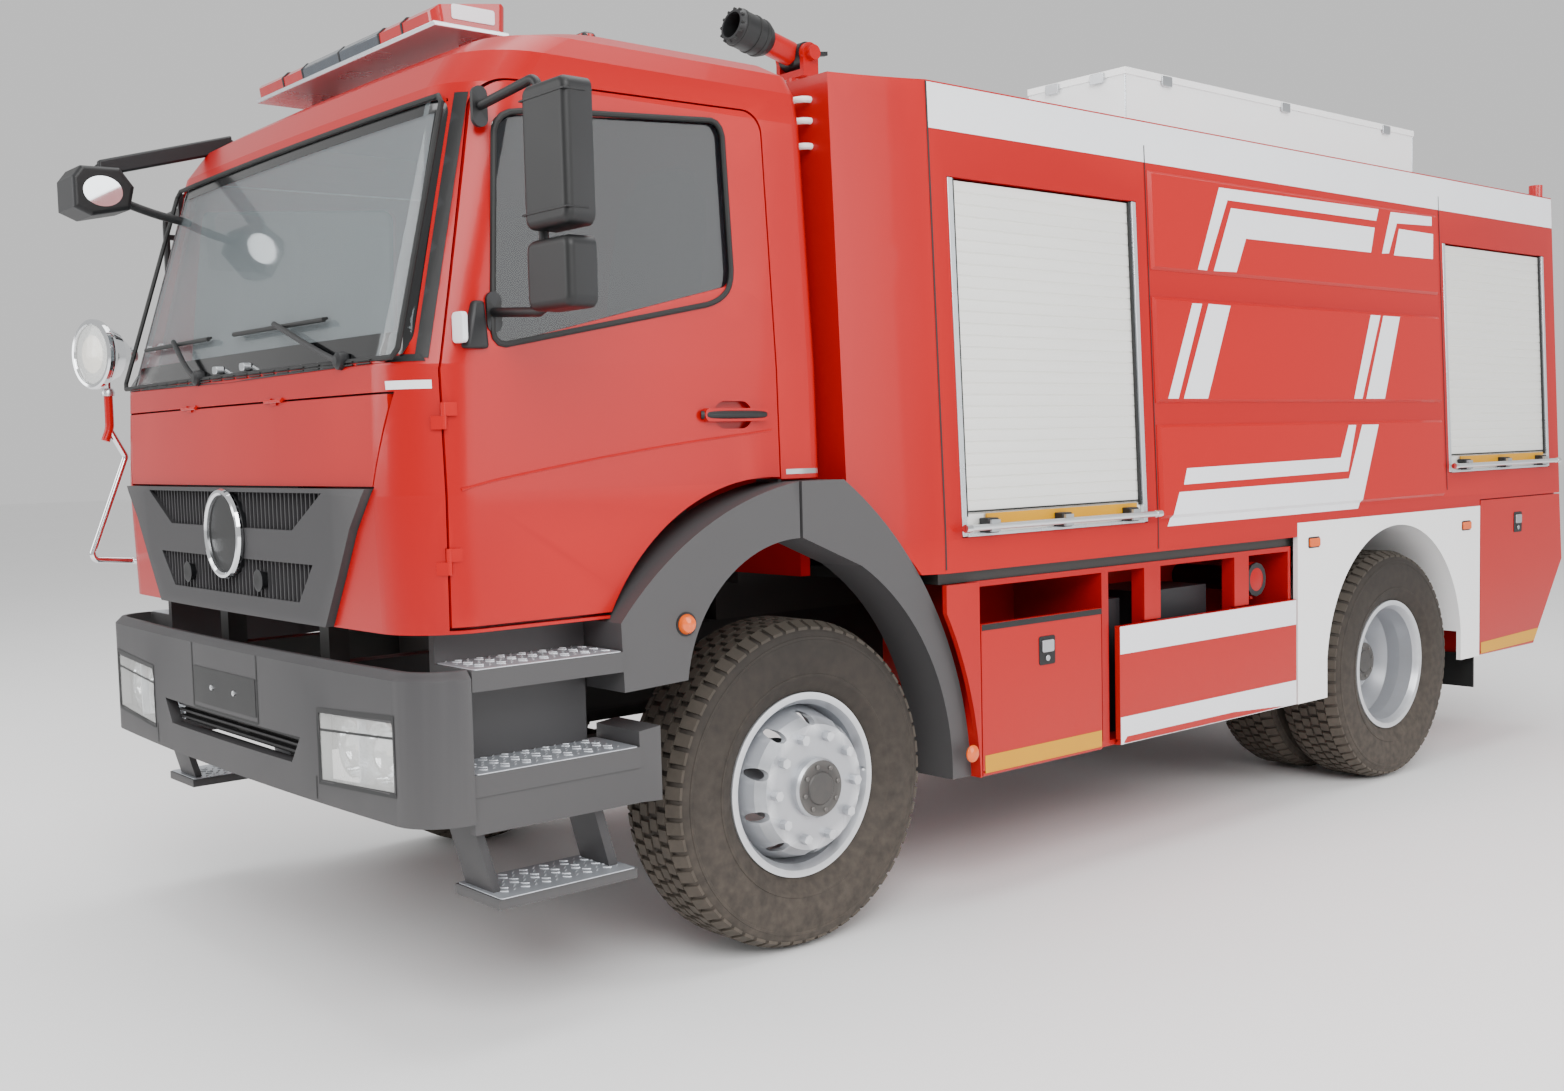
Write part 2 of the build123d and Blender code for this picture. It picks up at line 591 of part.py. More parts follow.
def cab_envelope(inset):
    """The cab's closed outer form, drawn in by the inset on every side."""
    stations = [
        (CAB_BOTTOM - 10, CAB_HALF, CAB_FRONT_Y + 12, 0),
        (SCUTTLE_Z - 350, CAB_HALF, CAB_FRONT_Y, 0),
        (SCUTTLE_Z, SCUTTLE_HALF, CAB_FRONT_Y + 14, 0),
        (HEADER_Z, CAB_TOP_HALF, HEADER_Y, 0),
        (HEADER_Z + 98, CAB_TOP_HALF - 16, HEADER_Y + 72, 4),
        (ROOF_Z - 42, CAB_TOP_HALF - 47, HEADER_Y + 180, 16),
        (ROOF_Z, CAB_TOP_HALF - 122, HEADER_Y + 340, 46),
    ]
    with BuildPart() as envelope:
        sections = []
        for z, half, front_y, rear_in in stations:
            drop = inset if z > HEADER_Z else 0
            sections.append(cab_section(z - drop, half - inset, front_y + inset, CAB_REAR_Y - rear_in - inset,
                                        CAB_CORNER_R - inset, CAB_REAR_R - inset, CAB_BOW))
        loft(sections, ruled=True)
    return envelope.part


def door_outline(grow):
    """Side view of the door, grown by the seam for the opening in the cab."""
    with BuildSketch(side_plane(0)) as shape:
        arch_low = DOOR_BOTTOM - 1.5 * grow
        rear_low = ARCH_TOP + SEAM - 1.5 * grow
        with BuildLine():
            Polyline((DOOR_ARCH_Y, arch_low), (DOOR_FRONT_Y - grow, arch_low), (DOOR_FRONT_Y - grow, SCUTTLE_Z - 15),
                     (DOOR_FRONT_Y + 178 - grow, DOOR_TOP + grow), (DOOR_REAR_Y + grow, DOOR_TOP + 16 + grow),
                     (DOOR_REAR_Y + grow, rear_low))
            ThreePointArc((DOOR_REAR_Y + grow, rear_low),
                          (DOOR_ARCH_Y + 196 + 1.2 * grow, ARCH_TOP - 130 - 1.2 * grow), (DOOR_ARCH_Y, arch_low))
        make_face()
        fillet(shape.vertices().sort_by(Axis.Y)[-1], radius=70)
        front_top = shape.vertices().filter_by(lambda v: abs(v.Y - DOOR_TOP - grow) < 1)
        fillet(front_top.sort_by(Axis.X)[0], radius=110)
    return shape.sketch


def window_outline(shrink):
    """Side view of the door window, drawn in by the given amount."""
    with BuildSketch(side_plane(0)) as shape:
        with BuildLine():
            Polyline((DOOR_FRONT_Y + 150, WINDOW_LOW), (DOOR_FRONT_Y + 205, WINDOW_TOP - 70),
                     (DOOR_REAR_Y - 154, WINDOW_TOP), (DOOR_REAR_Y - 154, WINDOW_LOW + 208), close=True)
        make_face()
        fillet(shape.vertices(), radius=45)
        if shrink > 0:
            offset(amount=-shrink)
    return shape.sketch


def screen_outline(shrink):
    """Front view of the windscreen, drawn in by the given amount."""
    with BuildSketch(front_plane(CAB_MID_Y)) as shape:
        with BuildLine():
            Polyline((-SCREEN_LOW_HALF, SCREEN_LOW), (-SCREEN_TOP_HALF, SCREEN_TOP), (SCREEN_TOP_HALF, SCREEN_TOP),
                     (SCREEN_LOW_HALF, SCREEN_LOW), close=True)
        make_face()
        fillet(shape.vertices(), radius=60)
        if shrink > 0:
            offset(amount=-shrink)
    return shape.sketch


def front_outline(points, grow):
    """Front view of a symmetric panel from its right-hand half, grown by a seam."""
    with BuildSketch(front_plane(CAB_FRONT_Y + SKIN_DEPTH)) as shape:
        with BuildLine():
            Polyline(*points, *[(-x, z) for x, z in reversed(points)], close=True)
        make_face()
        if grow > 0:
            offset(amount=grow, kind=Kind.INTERSECTION)
    return shape.sketch


def door_knuckle(leaf, z_low, side):
    """One hinge knuckle of a cab door with its leaf along the skin, on the left or the right."""
    centre = (side * DOOR_HINGE_X, DOOR_HINGE_Y)
    with BuildPart() as knuckle_piece:
        with BuildSketch(Plane.XY.offset(z_low)):
            with Locations(centre):
                Circle(KNUCKLE_R)
            add(outline([(side * (DOOR_HINGE_X + across), DOOR_HINGE_Y + along) for across, along in leaf]))
        extrude(amount=KNUCKLE_H - SEAT_GAP)
    return knuckle_piece.part


def door_knuckle_room(z_low, side):
    """The room that a knuckle needs in the other skin."""
    with BuildPart() as room:
        with BuildSketch(Plane.XY.offset(z_low - 1)):
            with Locations((side * DOOR_HINGE_X, DOOR_HINGE_Y)):
                Circle(KNUCKLE_R + 1.5)
        extrude(amount=KNUCKLE_H + 2)
    return room.part


def flap_knuckle(x, length, rise):
    """One hinge knuckle of the front flap; its web rises into the cab or falls into the flap."""
    web_low, web_high = sorted((FLAP_HINGE_Z, FLAP_HINGE_Z + rise))
    with BuildPart() as piece:
        with BuildSketch(side_plane(x - length / 2)):
            with Locations((FLAP_HINGE_Y, FLAP_HINGE_Z)):
                Circle(FLAP_KNUCKLE_R)
        extrude(amount=length)
        add(between(web_low, web_high, FLAP_HINGE_Y, FLAP_HINGE_Y + 18, x - length / 2, x + length / 2))
    return piece.part


DOOR_IN_X = CAB_HALF - CAB_WALL - SEAM
DOOR_HINGE_X = CAB_HALF - 14
DOOR_HINGE_Y = DOOR_FRONT_Y - SEAM / 2
CAB_LEAF = [(-3, -1), (5, -5), (-18, -30), (-30, -24)]
DOOR_LEAF = [(-3, 1), (7, 3), (12, 34), (-2, 34)]
FLAP_HINGE_Y = CAB_FRONT_Y + 8
FLAP_HINGE_Z = PANEL_TOP + SEAM / 2
FLAP_POINTS = [(PANEL_TOP_HALF, PANEL_TOP), (PANEL_TOP_HALF - 75, GRILLE_TOP + SEAM)]
GRILLE_POINTS = [(PANEL_TOP_HALF - 77, GRILLE_TOP), (GRILLE_LOW_HALF + 200, GRILLE_TOP - 110),
                 (GRILLE_LOW_HALF + 110, GRILLE_TOP - 250), (GRILLE_LOW_HALF, GRILLE_BOTTOM)]
FRONT_CUT = CAB_MID_Y - CAB_FRONT_Y + 200
SKIN_CUT = SKIN_DEPTH + 200
outer_cab = cab_envelope(0)
inner_cab = cab_envelope(CAB_WALL)

# Cab shell with its door openings, windscreen, grille opening, wheel arches and engine tunnel
with BuildPart() as cab_shell:
    add(outer_cab)
    add(inner_cab & between(CAB_FLOOR_Z, 4000, -9000, 9000, -9000, 9000), mode=Mode.SUBTRACT)
    for x_low, x_high in ((TUNNEL_HALF + CAB_WALL, 2000), (-2000, -TUNNEL_HALF - CAB_WALL)):
        footwell = between(FOOTWELL_Z, CAB_FLOOR_Z + 1, CAB_FRONT_Y + SKIN_DEPTH + 20, DOOR_ARCH_Y - 90, x_low, x_high)
        add(inner_cab & footwell, mode=Mode.SUBTRACT)
    with BuildSketch(side_plane(0)):
        with BuildLine():
            ThreePointArc((DOOR_ARCH_Y - 6, CAB_BOTTOM - 4), (DOOR_ARCH_Y + 192, ARCH_TOP - 136), (DOOR_REAR_Y, ARCH_TOP))
            Line((DOOR_REAR_Y, ARCH_TOP), (CAB_REAR_Y + 50, ARCH_TOP))
            Line((CAB_REAR_Y + 50, ARCH_TOP), (CAB_REAR_Y + 50, CAB_BOTTOM - 60))
            Line((CAB_REAR_Y + 50, CAB_BOTTOM - 60), (DOOR_ARCH_Y - 6, CAB_BOTTOM - 60))
            Line((DOOR_ARCH_Y - 6, CAB_BOTTOM - 60), (DOOR_ARCH_Y - 6, CAB_BOTTOM - 4))
        make_face()
    extrude(amount=CAB_HALF + 50, both=True, mode=Mode.SUBTRACT)
    add(between(CAB_BOTTOM - 60, ENGINE_TOP + 60, -9000, 9000, -TUNNEL_HALF, TUNNEL_HALF), mode=Mode.SUBTRACT)
    with BuildPart(mode=Mode.PRIVATE) as door_cut:
        extrude(door_outline(SEAM), amount=CAB_HALF + 50, both=True)
        add(cab_envelope(CAB_WALL + SEAM), mode=Mode.SUBTRACT)
        add(between(0, FOOTWELL_Z, DOOR_FRONT_Y + 150, 9000, -DOOR_IN_X, DOOR_IN_X), mode=Mode.SUBTRACT)
        add(between(0, FOOTWELL_Z, -9000, DOOR_FRONT_Y + 150, 150 - DOOR_IN_X, DOOR_IN_X - 150), mode=Mode.SUBTRACT)
    add(door_cut.part, mode=Mode.SUBTRACT)
    extrude(screen_outline(0), amount=FRONT_CUT, mode=Mode.SUBTRACT)
    extrude(front_outline(GRILLE_POINTS, SEAM), amount=SKIN_CUT, mode=Mode.SUBTRACT)
    extrude(front_outline(FLAP_POINTS, SEAM), amount=SKIN_CUT, mode=Mode.SUBTRACT)
    add(between(GRILLE_BOTTOM + 30, PANEL_TOP + 30, CAB_FRONT_Y + SKIN_DEPTH, CAB_FRONT_Y + SKIN_DEPTH + 20,
                -PANEL_TOP_HALF, PANEL_TOP_HALF))
    for side in (1, -1):
        for z in DOOR_HINGE_Z:
            add(door_knuckle_room(z + KNUCKLE_H, side), mode=Mode.SUBTRACT)
            add(door_knuckle(CAB_LEAF, z, side))
    for x in (FLAP_HINGE_X, FLAP_HINGE_X - 2 * FLAP_KNUCKLE, -FLAP_HINGE_X, 2 * FLAP_KNUCKLE - FLAP_HINGE_X):
        add(flap_knuckle(x, FLAP_KNUCKLE - SEAT_GAP, 10))
save(cab_shell.part, "cab_shell")

# Windscreen
with BuildPart() as windscreen:
    add(cab_envelope(8) - cab_envelope(8 + GLASS_T))
    extrude(screen_outline(SEAT_GAP), amount=FRONT_CUT, mode=Mode.INTERSECT)
save(windscreen.part, "windscreen")

# Doors with their windows; the mirror arm is bolted to the door's front edge
with BuildPart() as cab_door:
    add(outer_cab - inner_cab)
    extrude(door_outline(0), amount=CAB_HALF + 50, mode=Mode.INTERSECT)
    extrude(window_outline(0), amount=CAB_HALF + 50, mode=Mode.SUBTRACT)
    handle_at = (DOOR_REAR_Y - 178, HANDLE_Z)
    with BuildSketch(side_plane(CAB_HALF - 26)):
        with Locations(handle_at):
            SlotOverall(150, 84)
    extrude(amount=60, mode=Mode.SUBTRACT)
    with BuildSketch(side_plane(CAB_HALF - 8)):
        with Locations(handle_at):
            SlotOverall(250, 40)
    extrude(amount=26)
    for z in DOOR_HINGE_Z:
        add(door_knuckle_room(z, 1), mode=Mode.SUBTRACT)
        add(door_knuckle(DOOR_LEAF, z + KNUCKLE_H, 1))
save_pair(cab_door.part, "cab_door")

with BuildPart() as door_glass:
    add(cab_envelope(12) - cab_envelope(12 + GLASS_T))
    extrude(window_outline(SEAT_GAP), amount=CAB_HALF + 50, mode=Mode.INTERSECT)
save_pair(door_glass.part, "door_glass")

# Front flap above the grille, hung on the cab at its top edge; its inner corners are relieved so
# that they pass the opening's narrowing sides as it lifts
with BuildPart() as front_panel:
    add(outer_cab - cab_envelope(PANEL_T))
    extrude(front_outline(FLAP_POINTS, 0), amount=SKIN_CUT, mode=Mode.INTERSECT)
    for x in (FLAP_HINGE_X - FLAP_KNUCKLE, FLAP_KNUCKLE - FLAP_HINGE_X):
        add(flap_knuckle(x, FLAP_KNUCKLE, -12))
    for side in (1, -1):
        x_low, x_high = sorted((side * (PANEL_TOP_HALF - 14), side * (PANEL_TOP_HALF + 36)))
        add(between(PANEL_TOP - 88, PANEL_TOP + 22, CAB_FRONT_Y + 41, CAB_FRONT_Y + 121, x_low, x_high), mode=Mode.SUBTRACT)
save(front_panel.part, "front_panel")

# Grille: a proud frame tapering downward, with two mesh fields between bars
with BuildPart() as grille:
    add(cab_envelope(-GRILLE_PROUD) - cab_envelope(PANEL_T))
    extrude(front_outline(GRILLE_POINTS, 0), amount=SKIN_CUT, mode=Mode.INTERSECT)
    for top_z, low_z, top_half, low_half in MESH_FIELDS:
        field = [(-top_half, top_z), (top_half, top_z), (low_half, low_z), (-low_half, low_z)]
        extrude(outline(field, front_plane(CAB_FRONT_Y + 50)), amount=120, mode=Mode.SUBTRACT)
    for top_z, low_z, top_half, low_half in MESH_FIELDS:
        reach = (top_half - low_half) / (top_z - low_z)
        count = int(top_half / MESH_PITCH)
        for k in range(-count, count + 1):
            x = k * MESH_PITCH
            bar_low = max(low_z, low_z + (abs(x) - low_half) / reach) - 3
            y = CAB_FRONT_Y + CAB_BOW * (x / CAB_HALF) ** 2
            add(between(bar_low, top_z + 3, y - 8, y + 6, x - MESH_BAR / 2, x + MESH_BAR / 2))
        for share in (1 / 3, 2 / 3):
            z = low_z + share * (top_z - low_z)
            bar = outline([(-low_half - reach * (z - low_z), z - 4), (low_half + reach * (z - low_z), z - 4),
                           (low_half + reach * (z - low_z), z + 4), (-low_half - reach * (z - low_z), z + 4)],
                          front_plane(CAB_FRONT_Y + 50))
            with BuildPart(mode=Mode.PRIVATE) as cross_bar:
                add(cab_envelope(6) - cab_envelope(14))
                extrude(bar, amount=120, mode=Mode.INTERSECT)
            add(cross_bar.part)
    with BuildPart(mode=Mode.PRIVATE) as hangers:
        add(cab_envelope(PANEL_T - 4) - cab_envelope(PANEL_T + 12))
        add(between(GRILLE_TOP - 40, GRILLE_TOP, CAB_FRONT_Y - 50, CAB_FRONT_Y + 78, -440, 440), mode=Mode.INTERSECT)
    add(hangers.part)
    with BuildPart(mode=Mode.PRIVATE) as hanger_tops:
        add(cab_envelope(PANEL_T + SEAT_GAP) - cab_envelope(PANEL_T + 12))
        add(between(GRILLE_TOP - 4, GRILLE_TOP + 60, CAB_FRONT_Y - 50, CAB_FRONT_Y + 78, -440, 440), mode=Mode.INTERSECT)
    add(hanger_tops.part)
save(grille.part, "grille")


# Bumper: wraps round both front corners, with the lamp openings, the air intake and a bare plate panel
def bumper_plan(inset):
    """Plan view of the bumper, drawn in by the given amount."""
    half = BUMPER_HALF - inset
    with BuildSketch(Plane.XY.offset(BUMPER_BOTTOM)) as shape:
        with BuildLine():
            Line((half, BUMPER_REAR_Y), (-half, BUMPER_REAR_Y))
            Line((-half, BUMPER_REAR_Y), (-half, BUMPER_FRONT_Y + 40 + inset))
            ThreePointArc((-half, BUMPER_FRONT_Y + 40 + inset), (0, BUMPER_FRONT_Y + inset),
                          (half, BUMPER_FRONT_Y + 40 + inset))
            Line((half, BUMPER_FRONT_Y + 40 + inset), (half, BUMPER_REAR_Y))
        make_face()
        fillet(shape.vertices().group_by(Axis.Y)[0], radius=BUMPER_CORNER_R - inset)
    return shape.sketch


with BuildPart() as bumper:
    extrude(bumper_plan(0), amount=BUMPER_TOP - BUMPER_BOTTOM)
    chamfer(bumper.faces().sort_by(Axis.Z)[-1].edges().sort_by(Axis.Y)[:-1], length=22)
    extrude(bumper_plan(BUMPER_T), amount=BUMPER_TOP - BUMPER_BOTTOM, mode=Mode.SUBTRACT)
    for side in (1, -1):
        lamp = [(side * LAMP_IN, LAMP_LOW), (side * LAMP_OUT, LAMP_LOW + 22), (side * LAMP_OUT, LAMP_TOP + 14),
                (side * LAMP_IN, LAMP_TOP)]
        extrude(outline(lamp, front_plane(CAB_MID_Y)), amount=FRONT_CUT + 100, mode=Mode.SUBTRACT)
    intake = [(-INTAKE_HALF, INTAKE_TOP), (INTAKE_HALF, INTAKE_TOP), (INTAKE_HALF - 60, INTAKE_LOW),
              (60 - INTAKE_HALF, INTAKE_LOW)]
    extrude(outline(intake, front_plane(CAB_MID_Y)), amount=FRONT_CUT + 100, mode=Mode.SUBTRACT)
    with BuildSketch(front_plane(BUMPER_FRONT_Y + 80)):
        with Locations((0, 920), (0, BUMPER_BOTTOM + 50)):
            Rectangle(2 * RAIL_X, 60)
    extrude(amount=50)
    for x_low in (SPRING_X - 34, -SPRING_X - 34):
        add(between(880, 940, BUMPER_FRONT_Y + 60, FRAME_FRONT_Y - SEAT_GAP, x_low, x_low + 68))
save(bumper.part, "bumper")

# Headlamps
with BuildPart() as headlamps:
    extrude(bumper_plan(3), amount=BUMPER_TOP - BUMPER_BOTTOM)
    extrude(bumper_plan(BUMPER_T), amount=BUMPER_TOP - BUMPER_BOTTOM, mode=Mode.SUBTRACT)
    with BuildSketch(front_plane(CAB_MID_Y)):
        for side in (1, -1):
            with BuildLine():
                Polyline((side * (LAMP_IN + SEAT_GAP), LAMP_LOW + SEAT_GAP),
                         (side * (LAMP_OUT - SEAT_GAP), LAMP_LOW + 22 + SEAT_GAP),
                         (side * (LAMP_OUT - SEAT_GAP), LAMP_TOP + 14 - SEAT_GAP),
                         (side * (LAMP_IN + SEAT_GAP), LAMP_TOP - SEAT_GAP), close=True)
            make_face()
    extrude(amount=FRONT_CUT + 100, mode=Mode.INTERSECT)
save(headlamps.part, "headlamps")

# Cab steps behind the bumper: two treads a side in a moulded column, and a hanging lower step
STEP_FRONT_Y = BUMPER_REAR_Y + SEAM
with BuildPart() as cab_steps:
    add(between(STEP_LOW, CAB_BOTTOM - 10 - SEAT_GAP, STEP_FRONT_Y, DOOR_ARCH_Y - 17, STEP_IN_X, STEP_IN_X + 30))
    add(between(STEP_LOW, LOWER_TREAD_Z, STEP_FRONT_Y, STEP_REAR_Y, STEP_IN_X, STEP_IN_X + 30))
    add(between(UPPER_TREAD_Z - 58, UPPER_TREAD_Z, STEP_FRONT_Y, DOOR_ARCH_Y - 17, STEP_IN_X, STEP_OUT_X))
    add(between(LOWER_TREAD_Z - 60, LOWER_TREAD_Z, STEP_FRONT_Y, STEP_REAR_Y, STEP_IN_X, STEP_OUT_X - 5))
    add(between(STEP_LOW, LOWER_TREAD_Z - 60, STEP_FRONT_Y, STEP_REAR_Y, STEP_OUT_X - 40, STEP_OUT_X - 10))
    column = [(STEP_REAR_Y, STEP_LOW), (STEP_REAR_Y, 812), (FENDER_FRONT_Y + 118, 820), (FENDER_FRONT_Y + 118, 600)]
    extrude(outline(column, side_plane(STEP_IN_X)), amount=STEP_OUT_X - 10 - STEP_IN_X)
    for y_low, y_high, slope in ((STEP_FRONT_Y + 10, STEP_FRONT_Y + 34, 60), (STEP_REAR_Y - 150, STEP_REAR_Y - 120, 60)):
        leg = [(y_low, STEP_LOW + 40), (y_high, STEP_LOW + 40), (y_high + slope, HANG_STEP_Z), (y_low + slope, HANG_STEP_Z)]
        extrude(outline(leg, side_plane(STEP_IN_X + 30)), amount=150)
    add(between(HANG_STEP_Z - 28, HANG_STEP_Z, STEP_FRONT_Y + 50, STEP_REAR_Y - 40, STEP_IN_X + 6, STEP_OUT_X + 16))
    mirror(about=Plane.YZ)
save(cab_steps.part, "cab_steps")


# Front mudguards: the half on the cab and the half on the body, each a lip with its liner
def arch_ring(points_out, points_in):
    """Side view of one half of a wheel-arch lip between its outer and inner three-point arcs."""
    with BuildSketch(side_plane(0)) as shape:
        with BuildLine():
            ThreePointArc(*points_out)
            Line(points_out[2], points_in[2])
            ThreePointArc(points_in[2], points_in[1], points_in[0])
            Line(points_in[0], points_out[0])
        make_face()
    return shape.sketch


A = FRONT_AXLE_Y
CAB_ARCH_OUT = [(DOOR_ARCH_Y - 14, CAB_BOTTOM - 20), (DOOR_ARCH_Y + 214, ARCH_TOP - 184), (A - 62, ARCH_TOP - 8)]
CAB_ARCH_IN = [(A - 515, 940), (A - 372, 1215), (A - 62, 1335)]
BODY_ARCH_OUT = [(A + 130, ARCH_TOP - 8), (A + 520, 1095), (A + 705, SKIRT_BOTTOM + 2)]
BODY_ARCH_IN = [(A - 50, 1335), (A + 440, 1010), (A + 612, SKIRT_BOTTOM + 2)]
with BuildPart() as front_arches:
    extrude(arch_ring(CAB_ARCH_OUT, CAB_ARCH_IN), amount=ARCH_LIP_X)
    cab_foot = [(DOOR_ARCH_Y - 14, CAB_BOTTOM - 20), (A - 515, 940), (DOOR_ARCH_Y - 8, 930)]
    extrude(outline(cab_foot, side_plane(0)), amount=ARCH_LIP_X)
    body_top = [(A - 50, ARCH_TOP - 8), (A + 130, ARCH_TOP - 8), (A + 520, 1095), (A - 50, 1335)]
    extrude(outline(body_top, side_plane(0)), amount=ARCH_LIP_X)
    extrude(arch_ring(BODY_ARCH_OUT, BODY_ARCH_IN), amount=ARCH_LIP_X)
    add(between(ARCH_TOP - 12, ARCH_TOP - SEAT_GAP, DOOR_REAR_Y + 10, A - 62, ARCH_LINER_X, CAB_HALF - 20))
    add(between(0, 1800, A - 2000, A + 2000, -10, ARCH_LINER_X), mode=Mode.SUBTRACT)
    mirror(about=Plane.YZ)
save(front_arches.part, "front_arches")


# Front of the superstructure: a cross wall whose corners sweep back into the body sides
def fairing_plan(z, half):
    """Plan view of the front wall and its two curved corners at one height."""
    front_half = half - FAIRING_TAPER
    wall = BODY_WALL
    mid_y = (FAIRING_FRONT_Y + BODY_FRONT_Y) / 2
    with BuildSketch(Plane.XY.offset(z)) as shape:
        with BuildLine():
            ThreePointArc((half, BODY_FRONT_Y), (half - 62, mid_y), (front_half, FAIRING_FRONT_Y))
            Line((front_half, FAIRING_FRONT_Y), (-front_half, FAIRING_FRONT_Y))
            ThreePointArc((-front_half, FAIRING_FRONT_Y), (62 - half, mid_y), (-half, BODY_FRONT_Y))
            Line((-half, BODY_FRONT_Y), (wall - half, BODY_FRONT_Y))
            ThreePointArc((wall - half, BODY_FRONT_Y), (62 + wall - half, mid_y + 10),
                          (wall - front_half, FAIRING_FRONT_Y + wall))
            Line((wall - front_half, FAIRING_FRONT_Y + wall), (front_half - wall, FAIRING_FRONT_Y + wall))
            ThreePointArc((front_half - wall, FAIRING_FRONT_Y + wall), (half - 62 - wall, mid_y + 10),
                          (half - wall, BODY_FRONT_Y))
            Line((half - wall, BODY_FRONT_Y), (half, BODY_FRONT_Y))
        make_face()
    return shape.sketch


def body_arch_clear(x):
    """Side view of the room that the body half of a front mudguard takes out of the body."""
    (y1, z1), (y2, z2), (y3, z3) = BODY_ARCH_OUT
    with BuildSketch(side_plane(x)) as shape:
        with BuildLine():
            ThreePointArc((y1 + ARCH_GAP, z1 + ARCH_GAP), (y2 + ARCH_GAP, z2 + ARCH_GAP), (y3 + ARCH_GAP, z3 - 10))
            Line((y3 + ARCH_GAP, z3 - 10), (A - 60, z3 - 10))
            Line((A - 60, z3 - 10), (A - 60, z1 + ARCH_GAP))
            Line((A - 60, z1 + ARCH_GAP), (y1 + ARCH_GAP, z1 + ARCH_GAP))
        make_face()
    return shape.sketch


with BuildPart() as body_front:
    loft([fairing_plan(BODY_FLOOR_Z, BODY_HALF), fairing_plan(BODY_BEND_Z, BODY_HALF)], ruled=True)
    loft([fairing_plan(BODY_BEND_Z, BODY_HALF), fairing_plan(BODY_TOP, BODY_TOP_HALF)], ruled=True)
    for side in (1, -1):
        extrude(body_arch_clear(side * 900), amount=side * 400, mode=Mode.SUBTRACT)
save(body_front.part, "body_front")

BAY_IN_X = BODY_HALF - BAY_DEPTH
SHEET_OUT_X = BODY_HALF - DOOR_T - DOOR_GAP


# Body sides: leaning walls with the shutter openings and three raised pressings between them
LEAN = (BODY_HALF - BODY_TOP_HALF) / (BODY_TOP - BODY_BEND_Z)


def side_x(z):
    """Half width of the body's outer face at one height."""
    return BODY_HALF - LEAN * max(z - BODY_BEND_Z, 0)


def wall_section(y, depth_out, depth_in):
    """Front view of the left wall between two depths below its outer face."""
    heights = (BODY_FLOOR_Z, BODY_BEND_Z, BODY_TOP)
    outer = [(side_x(z) - depth_out, z) for z in heights]
    inner = [(side_x(z) - depth_in, z) for z in reversed(heights)]
    return outline(outer + inner, front_plane(y))


BODY_LENGTH = BODY_REAR_Y - BODY_FRONT_Y
with BuildPart() as body_sides:
    extrude(wall_section(BODY_REAR_Y, 0, BODY_WALL), amount=BODY_LENGTH)
    for y_span, z_low in ((SHUTTER1_Y, SHUTTER1_BOTTOM), (SHUTTER2_Y, SHUTTER2_BOTTOM)):
        add(between(z_low, SHUTTER_TOP, y_span[0], y_span[1], 900, 1400), mode=Mode.SUBTRACT)
    add(between(BODY_FLOOR_Z - 10, ARCH_PANEL_TOP + SEAT_GAP, ARCH_FRONT_Y - SEAT_GAP, ARCH_REAR_Y + SEAT_GAP,
                BODY_HALF - SHEET - SEAT_GAP, BODY_HALF + 10), mode=Mode.SUBTRACT)
    add(between(BODY_FLOOR_Z - 10, REAR_DOOR_TOP + DOOR_GAP, ARCH_REAR_Y, BODY_REAR_Y + 10, SHEET_OUT_X, BODY_HALF + 10),
        mode=Mode.SUBTRACT)
    add(between(BODY_FLOOR_Z - 10, REAR_ARCH_TOP + 18, REAR_AXLE_Y - REAR_ARCH_FRONT - 20, REAR_AXLE_Y + REAR_ARCH_BACK + 20,
                BODY_HALF - BODY_WALL - 10, BODY_HALF + 10), mode=Mode.SUBTRACT)
    for low, high in PRESSINGS:
        panel = [(PANEL_FRONT_Y + 12, low), (PANEL_REAR_Y - 40, low), (PANEL_REAR_Y - 40, high), (PANEL_FRONT_Y + 12, high)]
        with BuildPart(mode=Mode.PRIVATE) as pressing:
            extrude(wall_section(BODY_REAR_Y, -PANEL_RISE, 4), amount=BODY_LENGTH)
            extrude(outline(panel, side_plane(900)), amount=500, mode=Mode.INTERSECT)
            chamfer(pressing.faces().sort_by(Axis.X)[-1].edges(), length=PANEL_RISE - 2)
        add(pressing.part)
    mirror(about=Plane.YZ)
save(body_sides.part, "body_sides")

# Roof plate between the walls, closing the body
ROOF_HALF = side_x(BODY_TOP - 50) - BODY_WALL - 8
with BuildPart() as body_roof:
    add(between(BODY_TOP - 46, BODY_TOP - 16, FAIRING_FRONT_Y + BODY_WALL + SEAT_GAP, BODY_REAR_Y - BODY_WALL - SEAT_GAP,
                SEAT_GAP + FAIRING_TAPER - BODY_TOP_HALF + BODY_WALL, BODY_TOP_HALF - FAIRING_TAPER - BODY_WALL - SEAT_GAP))
    add(between(BODY_TOP - 46, BODY_TOP - 16, BODY_FRONT_Y, BODY_REAR_Y - BODY_WALL - SEAT_GAP,
                -side_x(BODY_TOP - 16) + BODY_WALL + SEAT_GAP, side_x(BODY_TOP - 16) - BODY_WALL - SEAT_GAP))
save(body_roof.part, "body_roof")

